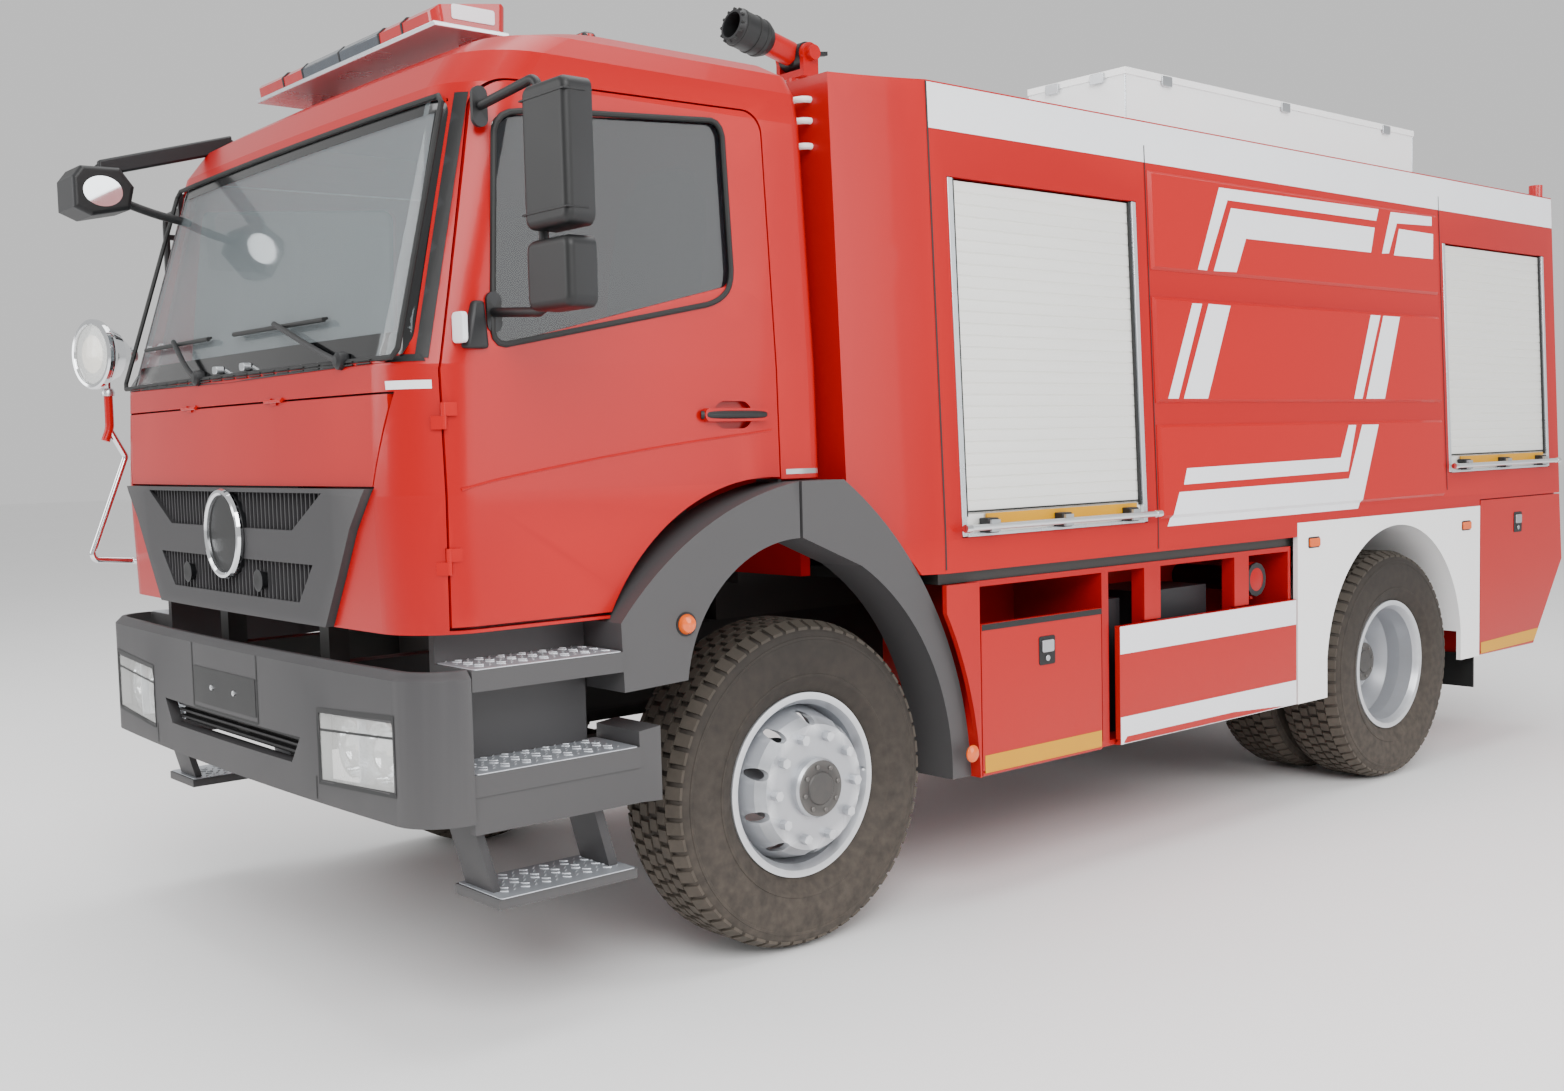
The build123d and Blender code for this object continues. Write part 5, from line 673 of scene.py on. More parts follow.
def ring_bands(outer: Sequence[Point2], inner: Sequence[Point2]) -> list[list[Point2]]:
    """Return the four-cornered outlines between two loops of as many points."""
    count = len(outer)
    return [[outer[i], outer[(i + 1) % count], inner[(i + 1) % count], inner[i]] for i in range(count)]


def along(levels: Sequence[Point2], z: float) -> float:
    """Return the value at a height, read straight between levels of height and value."""
    value = levels[0][1]
    for (z_low, low), (z_high, high) in zip(levels, levels[1:]):
        if z >= z_low:
            value = low + (high - low) * min((z - z_low) / (z_high - z_low), 1)
    return value


def angles(count: int) -> list[float]:
    """Return the angles that share a full turn evenly."""
    return [2 * math.pi * k / count for k in range(count)]


def cab_front(x: float, z: float) -> float:
    """Return the Y of the cab's front face at a place on it."""
    return along(CAB_FRONT_LEVELS, z) + CAB_CROWN * (x / CAB_HALF) ** 2


def cab_side(z: float) -> float:
    """Return the half width of the cab's side face at a height."""
    return along(CAB_SIDE_LEVELS, z)


def body_side(z: float) -> float:
    """Return the half width of the body's side face at a height."""
    return BODY_HALF - BODY_LEAN * max(z - BODY_LEAN_FROM, 0)


def leaning_block(mould: Mould, y: Point2, z: Point2, out: Point2) -> Mould:
    """Add a block that leans with the body's side.

    Args:
        mould: Where it goes.
        y: Its two values along Y.
        z: Its two heights.
        out: How far its inner and outer faces stand off the body's side.

    Returns:
        The mould.
    """
    rows = [[(body_side(h) + o, v, h) for o,
             v in ((out[0], y[0]), (out[1], y[0]), (out[1], y[1]), (out[0], y[1]))]
            for h in z]
    return mould.hull(rows[0], rows[1])


@dataclass
class CadFinishes:
    """Gives every CAD piece the finish of its material slot."""

    def dress(self) -> None:
        """Assign the finishes to the material slots."""
        slots = {row["node"]: row.get("material_slot") for row in frame["record"]["subparts"]}
        for name, piece in frame["nodes"].items():
            finish = BY_NODE.get(name) or BY_SLOT[slots[name]]
            if not piece.material_slots:
                piece.data.materials.append(finish.material())
            for slot in piece.material_slots:
                slot.material = finish.material()
            LOG.info("%s gets %s", name, finish.name)


@dataclass
class CabTrim:
    """Glass borders, scuttle, seals, handles, creases and bare labels of the cab."""

    screen: tuple[float, float, float, float] = (1062, 990, 1884, 2604)
    frit: float = 42.0
    window: list[Point2] = field(default_factory=lambda: [
        (A - 1090, 1910), (A - 1035, 2548), (A - 900, 2572), (A - 238, 2618), (A - 238, 2118),
        (A - 300, 2062)])
    handle: tuple[float, float, float] = (A - 262, 1722, 127)
    wipers: tuple[Point3, ...] = ((770.0, 300.0, 320.0), (-262.0, -545.0, 310.0))

    def make(self) -> None:
        """Build the cab's trim."""
        self._screen()
        self._scuttle()
        self._wipers()
        for side in SIDES:
            self._door(side)
        self._labels()

    def _screen(self) -> None:
        """Lay the black border on the windscreen and the dark pillar covers beside it."""
        low, top, z_low, z_high = self.screen
        outer = [(-low + 8, z_low + 8), (-top + 4, z_high - 8), (top - 4, z_high - 8), (low - 8, z_low + 8)]
        inner = [(-low + 8 + self.frit, z_low + 70), (-top + 4 + self.frit, z_high - 44),
                 (top - 4 - self.frit, z_high - 44), (low - 8 - self.frit, z_low + 70)]
        Film("screen_frit", ring_bands(outer, inner), View.FRONT, ("windscreen",), FRIT, lift=0.8,
             grid=45).lay()
        covers = [[(s * (low + 9), z_low - 4), (s * (top + 8), z_high + 6), (s * (top + 38), z_high + 6),
                   (s * (low + 33), z_low - 4)] for s in SIDES]
        Film("pillar_covers", covers, View.FRONT, ("cab_shell",), BLACK_ABS, lift=2.5, grid=12,
             reach=14).lay()
        rim = [(-low, z_low), (-top, z_high), (top, z_high), (low, z_low)]
        route = [(x, cab_front(x, z) + 3, z) for x, z in self._loop(rim, 90)]
        Mould().tube(route, 8, 8, 1, True).piece("screen_seal", RUBBER_SEAL, slot="black_plastic")

    @staticmethod
    def _loop(points: Sequence[Point2], step: float) -> list[Point2]:
        """Return points along a closed outline, about a step apart."""
        line = []
        for i, first in enumerate(points):
            second = points[(i + 1) % len(points)]
            parts = max(int(math.dist(first, second) / step), 1)
            line += [(first[0] + (second[0] - first[0]) * k / parts,
                      first[1] + (second[1] - first[1]) * k / parts)
                     for k in range(parts)]
        return line

    def _scuttle(self) -> None:
        """Lay the black scuttle panel under the windscreen, with its louvres and washer jets."""
        Film("scuttle_panel", [[(-1092, 1872), (-1082, 1891), (1082, 1891), (1092, 1872), (0, 1862)]],
             View.FRONT, ("cab_shell",), BLACK_ABS, lift=2.6, grid=24, reach=14).lay()
        louvres = Mould()
        for k in range(-9, 10):
            x = 100 * k
            y = cab_front(x, 1876) - 6
            louvres.block((x - 40, x + 40), (y, y + 6), (1872, 1876)).block((x - 40, x + 40), (y, y + 6),
                                                                            (1881, 1885))
        louvres.piece("scuttle_louvres", RUBBER_SEAL, bevel_mm=1.0)
        jets = Mould()
        for x in (-104, 115):
            y = cab_front(x, 1906)
            jets.pad((x - 19, x + 19), (y - 18, y + 8), (1894, 1918), 9, 1)
        jets.piece("washer_jets", BRUSHED, bevel_mm=2.0)

    def _wipers(self) -> None:
        """Set both wipers parked along the lower edge of the windscreen, in place of the plain ones."""
        arms, blades = Mould(), Mould()
        for pivot_x, tip_x, half in self.wipers:
            pivot = Vector((pivot_x, cab_front(pivot_x, 1888), 1888))
            tip = Vector((tip_x, cab_front(tip_x, 2024) - 22, 2024))
            arms.turn(tuple(pivot), (0, -1, 0), [(0, -8), (25, -8), (27, 0), (24, 18), (14, 26), (0, 27)], 24)
            arms.tube([tuple(pivot + Vector((0, -18, 0))), tuple(pivot.lerp(tip, 0.3) + Vector((0, -22, 0))),
                       tuple(tip)], 9, 8, 2)
            for depth, radius in ((16, 7.0), (7, 4.5)):
                blades.tube([(x, cab_front(x, 2021) - depth, 2021 - 3 * depth / 7)
                             for x in (tip_x + half * k / 4 for k in range(-4, 5))], radius, 8, 1)
        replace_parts(arms.piece("wiper_arms", BLACK_ABS, slot="black_plastic"), "wipers")
        blades.piece("wiper_blades", RUBBER_SEAL, slot="black_plastic")

    def _door(self, side: int) -> None:
        """Fit one door's window seal, handle, body crease and mirror-root cover."""
        name = SIDE_NAMES[side]
        body = f"cab_door_{name}"
        route = [(cab_side(z) + 0.5, y, z) for y, z in self._loop(self.window, 110)]
        Mould().tube(route, 9, 8, 2, True).to_side(side).piece(f"window_seal_{name}", RUBBER_SEAL, body,
                                                               "black_plastic")
        y, z, half = self.handle
        grip = Mould().tube([(cab_side(z) + 3, y - half, z), (cab_side(z) + 19, y - half + 26, z),
                             (cab_side(z) + 19, y + half - 26, z), (cab_side(z) + 3, y + half, z)], 13, 12, 2)
        grip.to_side(side).piece(f"door_handle_{name}", BLACK_ABS, body, "black_plastic")
        crease = Mould().tube([(cab_side(1528) - 1, A - 1205, 1528), (cab_side(1540) - 1, A - 1080, 1556),
                               (cab_side(1630) - 1, A - 560, 1630), (cab_side(1673) - 1, A - 110, 1673)], 4,
                              8, 2)
        crease.to_side(side).piece(f"door_crease_{name}", RED, body, "red_paint")
        cover = Mould().hull(
            [(1090, A - 1196, 1905), (1150, A - 1176, 1905), (1150, A - 1108, 1905), (1090, A - 1108, 1905)],
            [(1090, A - 1150, 2035), (1132, A - 1140, 2035), (1132, A - 1108, 2035), (1090, A - 1108, 2035)])
        cover.to_side(side).piece(f"mirror_root_cover_{name}", BLACK_ABS, body, "black_plastic", 9.0)
        if side > 0:
            lens = Mould().pad((1120, 1180), (A - 1206, A - 1190), (1918, 2000), 14, 1)
            lens.piece("side_signal_lens", WHITE_FILM, body, bevel_mm=3.0)

    def _labels(self) -> None:
        """Lay the bare label on the corner and the bare strips behind the doors."""
        Film("corner_label", [band((A - 1344, 1799), (A - 1262, 1822))], View.LEFT, ("cab_shell",),
             WHITE_FILM, lift=1.2, grid=12).lay()
        for side, view in ((1, View.LEFT), (-1, View.RIGHT)):
            Film(f"cab_rear_strip_{SIDE_NAMES[side]}", [band((A - 58, 1534), (A + 84, 1550))], view,
                 ("cab_shell",), BRUSHED, lift=1.2).lay()


@dataclass
class FrontTrim:
    """Grille meshes, bumper seams, headlamp insides and the steps' treads."""

    fields: tuple[tuple[float, float, float, float], ...] = ((1522, 1412, 690, 485), (1316, 1202, 605, 500))
    cell: float = 26.0
    wire: float = 4.2
    # How far behind the front face the dark sheet of painted shade stands
    shade_sheet_depth: float = 34.0
    lamps: tuple[tuple[float, float, float], ...] = ((775, 806, 74), (952, 812, 84))

    def make(self) -> None:
        """Build the trim of the front."""
        self._mesh()
        self._bumper()
        self._headlamps()
        self._treads()

    def _mesh(self) -> None:
        """Weave a diamond mesh over each opening of the grille, with a dark sheet of painted shade behind it.
        """
        mesh, back = Mould(), Mould()
        for z_top, z_low, half_top, half_low in self.fields:
            height = z_top - z_low
            for slant in (0.9, -0.9):
                start = -half_top - height
                while start < half_top + height:
                    self._wire(mesh, start, slant, z_low, height, half_low, half_top)
                    start += self.cell
            drawn = ((-half_low, z_low), (half_low, z_low), (half_top, z_top), (-half_top, z_top))
            # Painted shade: a dark rubber sheet behind each opening stands in for the shade inside the grille
            back.prism([(x, cab_front(x, z) + self.shade_sheet_depth, z) for x, z in drawn], (0, 4, 0))
        mesh.piece("grille_mesh", MESH_BLACK, "front_flap", "grey_plastic")
        back.piece("grille_shade_sheet", RUBBER_SEAL, "front_flap")
        centre = (0, A - 1404, 1390)
        plate = Mould().turn(centre, (0, -1, 0),
                             [(0, -16), (134, -16), (140, 0), (138, 8), (124, 10), (118, 4), (0, 7)], 64)
        plate.piece("grille_centre_disc", BLACK_ABS, "front_flap", "grey_plastic")
        ring = Mould().turn(centre, (0, -1, 0),
                            [(121, 6), (122, 15), (129, 21), (138, 19), (142, 10), (140, 2)], 72)
        ring.piece("grille_centre_ring", CHROME, "front_flap", "lamp_chrome")
        horns = Mould()
        for x in (-330, 250):
            horns.turn((x, cab_front(x, 1255) - 30, 1255), (0, -1, 0),
                       [(0, -34), (20, -34), (30, 0), (34, 6), (24, 8), (0, 2)], 24)
        horns.piece("grille_horns", BLACK_ABS, "front_flap")

    def _wire(self, mesh: Mould, start: float, slant: float, z_low: float, height: float, half_low: float,
              half_top: float) -> None:
        """Add one slanted wire, cut off at the opening's slanted ends.

        Args:
            mesh: Where it goes.
            start: Its X at the lower edge.
            slant: How far it leans for its rise.
            z_low: The lower edge's height.
            height: The opening's height.
            half_low: Half the lower edge.
            half_top: Half the upper edge.
        """
        shares = [k / 24 for k in range(25)
                  if abs(start + slant * height * k / 24) <= half_low + (half_top - half_low) * k / 24]
        if len(shares) < 3:
            return
        ends = []
        for share in (shares[0], shares[-1]):
            x, z = start + slant * height * share, z_low + height * share
            y = cab_front(x, z) + 3
            w = self.wire / 2
            ends.append([(x - w, y, z), (x + w, y, z), (x + w, y + 4, z), (x - w, y + 4, z)])
        mesh.hull(ends[0], ends[1])

    def _bumper(self) -> None:
        """Draw the bumper's joints and its bolts, and the bare plate panel."""
        seams = [band((s * 262 - 4, 820), (s * 262 + 4, 1030))
                 for s in SIDES] + [band((-258, 817), (258, 824))]
        seams += [band((s * 640 - 3, 650), (s * 640 + 3, 716)) for s in SIDES]
        Film("bumper_joints", seams, View.FRONT, ("bumper",), RUBBER_SEAL, lift=1.2, grid=60).lay()
        gaskets = []
        for s in SIDES:
            outer = [(s * 658, 696), (s * 1090, 716), (s * 1090, 938), (s * 658, 916)]
            inner = [(s * 672, 710), (s * 1076, 730), (s * 1076, 924), (s * 672, 902)]
            gaskets += ring_bands(outer, inner)
            gaskets.append([(s * 672, 850), (s * 1076, 872), (s * 1076, 879), (s * 672, 857)])
        Film("headlamp_gaskets", gaskets, View.FRONT, ("bumper", "headlamps"), BLACK_ABS, lift=1.8,
             grid=30).lay()
        Film("bumper_plate_panel", [band((-250, 838), (250, 956))], View.FRONT, ("bumper",), BLACK_ABS,
             lift=2.0, grid=50).lay()
        bolts = Mould()
        for x in (-90, 90):
            bolts.turn((x, A - 1439, 897), (0, -1, 0), [(0, 0), (9, 0), (9, 4), (6, 6), (0, 6)], 6)
        bolts.piece("plate_bolts", BRUSHED)
        slats = Mould()
        for z in (756, 778, 798):
            slats.block((-500, 500), (A - 1400, A - 1380), (z - 4, z + 4))
        slats.block((-520, 520), (A - 1372, A - 1366), (735, 815)).piece("intake_slats", MESH_BLACK,
                                                                         bevel_mm=1.0)

    def _headlamps(self) -> None:
        """Set reflector bowls, bulbs and an aluminium carrier behind each lens."""
        bowls, bulbs, carrier = Mould(), Mould(), Mould()
        for x, z, radius in self.lamps:
            y = A - 1437 + 40 * (x / 1222) ** 2 + 40
            steps = [(radius * math.sin(math.radians(a)), -62 * math.cos(math.radians(a)))
                     for a in range(12, 91, 13)]
            bowls.turn((x, y, z), (0, -1, 0), steps + [(radius + 8, 0), (radius + 8, -4), (radius + 2, -6)]
                       + [(r + 3, h - 4) for r, h in reversed(steps)], 40)
            bulbs.turn((x, y, z), (0, -1, 0), [(0, -58), (13, -56), (13, -30), (8, -16), (0, -12)], 20)
        carrier.prism([(674, A - 1322, 712), (1074, A - 1318, 730), (1074, A - 1318, 908),
                       (674, A - 1322, 896)], (0, 5, 0))
        carrier.prism([(862, A - 1400, 716), (870, A - 1400, 716), (870, A - 1400, 900),
                       (862, A - 1400, 900)], (0, 40, 0))
        bowls.mirrored().piece("headlamp_reflectors", CHROME, slot="lamp_chrome")
        bulbs.mirrored().piece("headlamp_bulbs", WARM_LENS)
        carrier.mirrored().piece("headlamp_carriers", EXTRUDED)

    def _treads(self) -> None:
        """Lay aluminium treads with raised lozenges on the three steps of each side."""
        plates, studs = Mould(), Mould()
        for z, x, y in ((1050, (990, 1216), (A - 1232, A - 756)), (768, (990, 1211), (A - 1232, A - 706)),
                        (425, (994, 1231), (A - 1184, A - 742))):
            plates.pad(x, y, (z, z + 3), 10, 2)
            rows = int((x[1] - x[0] - 30) / 30)
            for i in range(rows):
                for j in range(int((y[1] - y[0] - 30) / 34)):
                    cx, cy = x[0] + 28 + 30 * i, y[0] + 26 + 34 * j + 17 * (i % 2)
                    lean = 1 if (i + j) % 2 else -1
                    studs.prism([(cx - 9, cy - 9 * lean, z + 2.8), (cx + 1, cy - 3, z + 2.8),
                                 (cx + 9, cy + 9 * lean, z + 2.8), (cx - 1, cy + 3, z + 2.8)], (0, 0, 2.4))
        plates.mirrored().piece("step_treads", TREAD, slot="bright_steel", bevel_mm=1.0)
        studs.mirrored().piece("step_tread_studs", TREAD)


@dataclass
class SideMarkings:
    """White stripes, the white top band, yellow strips and panel joints on both sides."""

    stripes: tuple[tuple[Point2, ...], ...] = (
        ((2040, 2276), (2206, 2612), (3461, 2624), (3436, 2570), (2262, 2566), (2101, 2276)),
        ((2148, 2276), (2285, 2536), (3421, 2538), (3381, 2424), (2385, 2420), (2308, 2280)),
        ((3479, 2426), (3569, 2620), (3954, 2626), (3951, 2584), (3622, 2572), (3541, 2430)),
        ((3586, 2424), (3640, 2548), (3962, 2546), (3953, 2428)),
        ((1811, 1768), (1994, 2142), (2059, 2142), (1878, 1768)),
        ((1913, 1768), (2104, 2144), (2256, 2142), (2075, 1768)),
        ((3193, 1768), (3361, 2144), (3446, 2144), (3263, 1768)),
        ((3297, 1768), (3472, 2144), (3622, 2144), (3461, 1768)),
        ((3139, 1652), (3202, 1652), (3122, 1449), (1892, 1433), (1916, 1496), (3063, 1510)),
        ((3254, 1652), (3398, 1652), (3219, 1279), (1794, 1274), (1861, 1405), (3125, 1416)),
    )

    def make(self) -> None:
        """Lay the films of both sides."""
        for side, view in ((1, View.LEFT), (-1, View.RIGHT)):
            name = SIDE_NAMES[side]
            drawn = [[(A + y, z) for y, z in stripe] for stripe in self.stripes]
            Film(f"side_stripes_{name}", drawn, view, ("body_sides",), WHITE_FILM, slot="white_paint",
                 lift=1.0, grid=50, cuts=(1306, 1318)).lay()
            Film(f"top_band_{name}", [band((BODY_FRONT + 2, 2668), (BODY_REAR - 4, 2820))], view,
                 ("body_sides", "body_front"), WHITE_FILM, slot="white_paint", lift=1.2, grid=160).lay()
            joints = [band((y - 3, 1192), (y + 3, top)) for y, top in (
                (A + 1735, 2826), (A + 4050, 2826), (BODY_FRONT, 2822))]
            Film(f"panel_joints_{name}", joints, view, ("body_sides", "body_front"), RUBBER_SEAL, lift=1.8,
                 grid=140).lay()
            flap = f"side_flap_{name}"
            bands = [band((A + 1490, 806), (A + 2710, 911)), band((A + 1490, 462), (A + 2710, 566))]
            Film(f"flap_bands_{name}", bands, view, (flap,), WHITE_FILM, flap, "white_paint", 1.2, 40).lay()
            box, rear = f"box_door_{name}", f"rear_door_{name}"
            foot = [(A + 4404, 500), (A + 5000, 508), (A + 5050, 570), (A + 4404, 556)]
            for body, part, outline, finish, lift, grid in (
                    (box, "box_door_strip", band((A + 728, 472), (A + 1374, 534)), YELLOW, 1.2, 30),
                    (box, "box_door_rim", band((A + 720, 970), (A + 1380, 991)), BLACK_ABS, 1.5, 40),
                    (rear, "rear_door_strip", foot, YELLOW, 1.2, 30)):
                Film(f"{part}_{name}", [outline], view, (body,), finish, body, lift=lift, grid=grid).lay()


@dataclass
class BodyHardware:
    """Shutter rails and brackets, latches, side markers, rungs, caps and mud flaps."""

    shutters: tuple[tuple[float, float, float], ...] = ((632, 1672, 1296), (4078, 5176, 1412))
    shutter_top: float = 2515.0

    def make(self) -> None:
        """Build the hardware of both sides."""
        rails, seals, strips, brackets, ends = Mould(), Mould(), Mould(), Mould(), Mould()
        for y_low, y_high, z_low in self.shutters:
            for edge, inner in ((A + y_low, 1), (A + y_high, -1)):
                y = sorted((edge + inner * 2, edge + inner * 26))
                leaning_block(rails, (y[0], y[1]), (z_low + 4, self.shutter_top - 3), (-13, 1.5))
                y = sorted((edge + inner * 26, edge + inner * 40))
                leaning_block(seals, (y[0], y[1]), (z_low + 70, self.shutter_top - 4), (-13, -6))
            leaning_block(rails, (A + y_low + 26, A + y_high - 26), (z_low + 2, z_low + 14), (-12, 6))
            leaning_block(seals, (A + y_low + 26, A + y_high - 26), (z_low + 84, z_low + 90), (-13, -8))
            leaning_block(strips, (A + y_low + 130, A + y_high - 60), (z_low + 42, z_low + 78), (-9, -4))
            for share in (0.12, 0.5, 0.88):
                y = A + y_low + share * (y_high - y_low)
                leaning_block(brackets, (y - 27, y + 27), (z_low + 12, z_low + 64), (-11, 34))
            for y in (A + y_low - 14, A + y_high + 14):
                x = body_side(z_low + 34) + 40
                ends.turn((x, y, z_low + 34), (0, 1, 0), [(0, -16), (14, -14), (15, 0), (14, 14), (0, 16)],
                          20)
        rails.mirrored().piece("shutter_rails", EXTRUDED, slot="shutter_aluminium", bevel_mm=1.5)
        seals.mirrored().piece("shutter_seals", RUBBER_SEAL)
        strips.mirrored().piece("shutter_strips", YELLOW)
        brackets.mirrored().piece("shutter_brackets", BLACK_ABS, slot="black_plastic", bevel_mm=4.0)
        ends.mirrored().piece("shutter_bar_ends", CHROME)
        for side in SIDES:
            self._doors(side)
        self._markers()
        self._rungs()
        flaps = Mould().block((850, 1228), (A + 4372, A + 4381), (332, 500))
        flaps.mirrored().piece("rear_mud_flaps", RUBBER_SEAL, bevel_mm=2.0)
        caps = Mould().turn((1142, A + 2520, 1010), (1, 0, 0),
                            [(0, -6), (66, -6), (74, 0), (74, 22), (66, 34), (40, 40), (0, 42)], 24)
        for k in range(3):
            turn = math.radians(120 * k + 20)
            y, z = A + 2520 + 76 * math.cos(turn), 1010 + 76 * math.sin(turn)
            caps.block((1144, 1164), (y - 10, y + 10), (z - 10, z + 10))
        caps.mirrored().piece("coupling_caps", RED, slot="red_paint", bevel_mm=3.0)

    def _doors(self, side: int) -> None:
        """Fit the latches of one side's box door and rear door."""
        name = SIDE_NAMES[side]
        for kind, y, z in (("box_door", A + 1065, 868), ("rear_door", A + 4800, 1140)):
            body = f"{kind}_{name}"
            case = Mould().pad((1249.0, 1253.0), (y - 44, y + 44), (z - 52, z + 52), 9, 0)
            case.to_side(side).piece(f"{kind}_latch_case_{name}", BLACK_ABS, body, "black_plastic", 1.2)
            grip = Mould().pad((1252.6, 1259.0), (y - 32, y + 32), (z - 6, z + 38), 8, 0)
            grip.turn((1253, y, z - 28), (1, 0, 0), [(0, 0), (11, 0), (11, 4), (0, 4)], 16)
            grip.to_side(side).piece(f"{kind}_latch_grip_{name}", BRUSHED, body, "bright_steel", 1.2)

    def _markers(self) -> None:
        """Set the amber side markers in their dark sockets."""
        lenses, sockets = Mould(), Mould()
        lenses.turn((1204, A - 518, 1107), (1, 0, 0),
                    [(0, 0), (30, 0), (30, 8), (24, 18), (12, 23), (0, 24)], 28)
        sockets.turn((1202, A - 518, 1107), (1, 0, 0), [(0, 0), (36, 0), (36, 6), (0, 6)], 28)
        lenses.turn((1251, A + 660, 552), (1, 0, 0), [(0, 0), (30, 0), (30, 6), (22, 12), (0, 14)], 28)
        for y, z in ((A + 2850, 1150), (A + 4240, 1150)):
            lenses.pad((1251, 1261), (y - 40, y + 40), (z - 18, z + 18), 8, 0)
            sockets.pad((1249, 1253), (y - 46, y + 46), (z - 24, z + 24), 10, 0)
        lenses.mirrored().piece("side_markers", AMBER_LENS, bevel_mm=1.5)
        sockets.mirrored().piece("marker_sockets", RUBBER_SEAL)

    def _rungs(self) -> None:
        """Fix the white climbing rungs to the front wall of the body."""
        rungs = Mould()
        for z in (2600, 2682, 2751):
            rungs.tube([(872, A + 236, z), (872, A + 168, z), (1000, A + 168, z), (1000, A + 236, z)], 11,
                       10, 2)
        rungs.piece("front_wall_rungs", WHITE, slot="white_paint")


@dataclass
class Tyre:
    """Truck tyre with ribs on its sidewalls and cut tread blocks."""

    radius: float = 532.0
    half: float = 154.0
    blocks: int = 60
    rows: tuple[Point2, ...] = ((90, 137), (46, 84), (6, 40))
    wall: tuple[Point2, ...] = (
        (108, 293), (113, 296), (121, 301), (134, 320), (145, 346), (149, 352), (150, 360), (147.5, 362),
        (151, 382), (153.5, 406),
        (154, 428), (152.5, 452), (149, 470), (150.5, 473), (149.5, 480), (146.5, 482), (143, 494),
        (139, 500), (128, 511), (104, 518), (60, 520), (0, 520.5))

    def shell(self, mould: Mould, x: float, y: float) -> None:
        """Add the carcass of one tyre about its axle."""
        outer = [(r, a) for a, r in self.wall]
        whole = outer + [(r, -a) for r, a in reversed(outer[:-1])]
        whole += [(284, -104), (284, 104), outer[0]]
        mould.turn((x, y, self.radius), (1, 0, 0), whole, 112)

    def tread(self, mould: Mould, x: float, y: float) -> None:
        """Add the tread blocks of one tyre."""
        pitch = 2 * math.pi / self.blocks
        for number, (near, far) in enumerate(self.rows):
            for way in SIDES:
                for k in range(self.blocks):
                    middle = pitch * (k + 0.5 * (number % 2) + (0.25 if way < 0 else 0))
                    self._block(mould, x, y, way, near, far, middle, pitch * (0.36 if number else 0.38))

    def _block(self, mould: Mould, x: float, y: float, way: int, near: float, far: float, middle: float,
               half_turn: float) -> None:
        """Add one block between two distances from the tyre's middle plane."""
        outlines = []
        for lift in (0, 1):
            ring = []
            for across, swing in ((near, -1), (far, -1), (far, 1), (near, 1)):
                top = self.radius - 0.4 - 21 * max((across - 88) / 50, 0) ** 2
                base = 514 - 18 * max((across - 100) / 38, 0) ** 2
                r = top if lift else base
                turn = middle + swing * half_turn * (0.94 if lift else 1.0)
                ring.append((x + way * across, y + r * math.cos(turn), self.radius + r * math.sin(turn)))
            outlines.append(ring)
        mould.hull(outlines[0], outlines[1])


@dataclass
class Wheels:
    """Tyres in place of the plain ones, hub caps, valves and bolts."""

    tyre: Tyre = field(default_factory=Tyre)
    front_x: float = 1000.0
    rear_x: tuple[float, float] = (1074.0, 724.0)
    front_y: float = A
    rear_y: float = A + 3600

    def make(self) -> None:
        """Build the wheels of both sides."""
        for side in SIDES:
            name = SIDE_NAMES[side]
            self._tyres(f"front_tyre_{name}", f"front_wheel_{name}", (self.front_x,), self.front_y, side)
            self._tyres(f"rear_tyres_{name}", f"rear_wheels_{name}", self.rear_x, self.rear_y, side)
            self._hub(f"front_hub_{name}", f"front_wheel_{name}", 1205.0, self.front_y, side, 1175.0)
            self._hub(f"rear_hub_{name}", f"rear_wheels_{name}", 1069.0, self.rear_y, side, 914.0)

    def _tyres(self, node: str, body: str, places: Sequence[float], y: float, side: int) -> None:
        """Put the tyres of one wheel, or pair of wheels, in place of their node."""
        carcass, blocks = Mould(), Mould()
        for x in places:
            self.tyre.shell(carcass, x, y)
            self.tyre.tread(blocks, x, y)
        shell = carcass.to_side(side).piece(f"{node}_carcass", TYRE, body, "tyre_rubber")
        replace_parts(shell, node)
        blocks.to_side(side).piece(f"{node}_tread", TYRE, body, "tyre_rubber")

    def _hub(self, name: str, body: str, x: float, y: float, side: int, disc_x: float) -> None:
        """Cap the hub with a dark cover, its bolts and a tyre valve on the disc."""
        cover = Mould().turn((x, y, AXLE_Z), (1, 0, 0),
                             [(0, -4), (88, -4), (90, 0), (86, 3), (58, 3), (54, 1), (50, 5), (20, 6),
                              (0, 6)], 48)
        for k in range(8):
            turn = math.radians(45 * k + 12)
            cover.turn((x + 2, y + 72 * math.cos(turn), AXLE_Z + 72 * math.sin(turn)), (1, 0, 0),
                       [(0, 0), (8, 0), (8, 5), (5, 7), (0, 7)], 6)
        cover.to_side(side).piece(f"{name}_cover", DARK_STEEL, body)
        valve = Mould().tube([(disc_x - 20, y + 214, AXLE_Z + 30), (disc_x + 4, y + 216, AXLE_Z + 30),
                              (disc_x + 18, y + 200, AXLE_Z + 28)],
                             4.5, 8, 2)
        valve.to_side(side).piece(f"{name}_valve", BRUSHED, body)


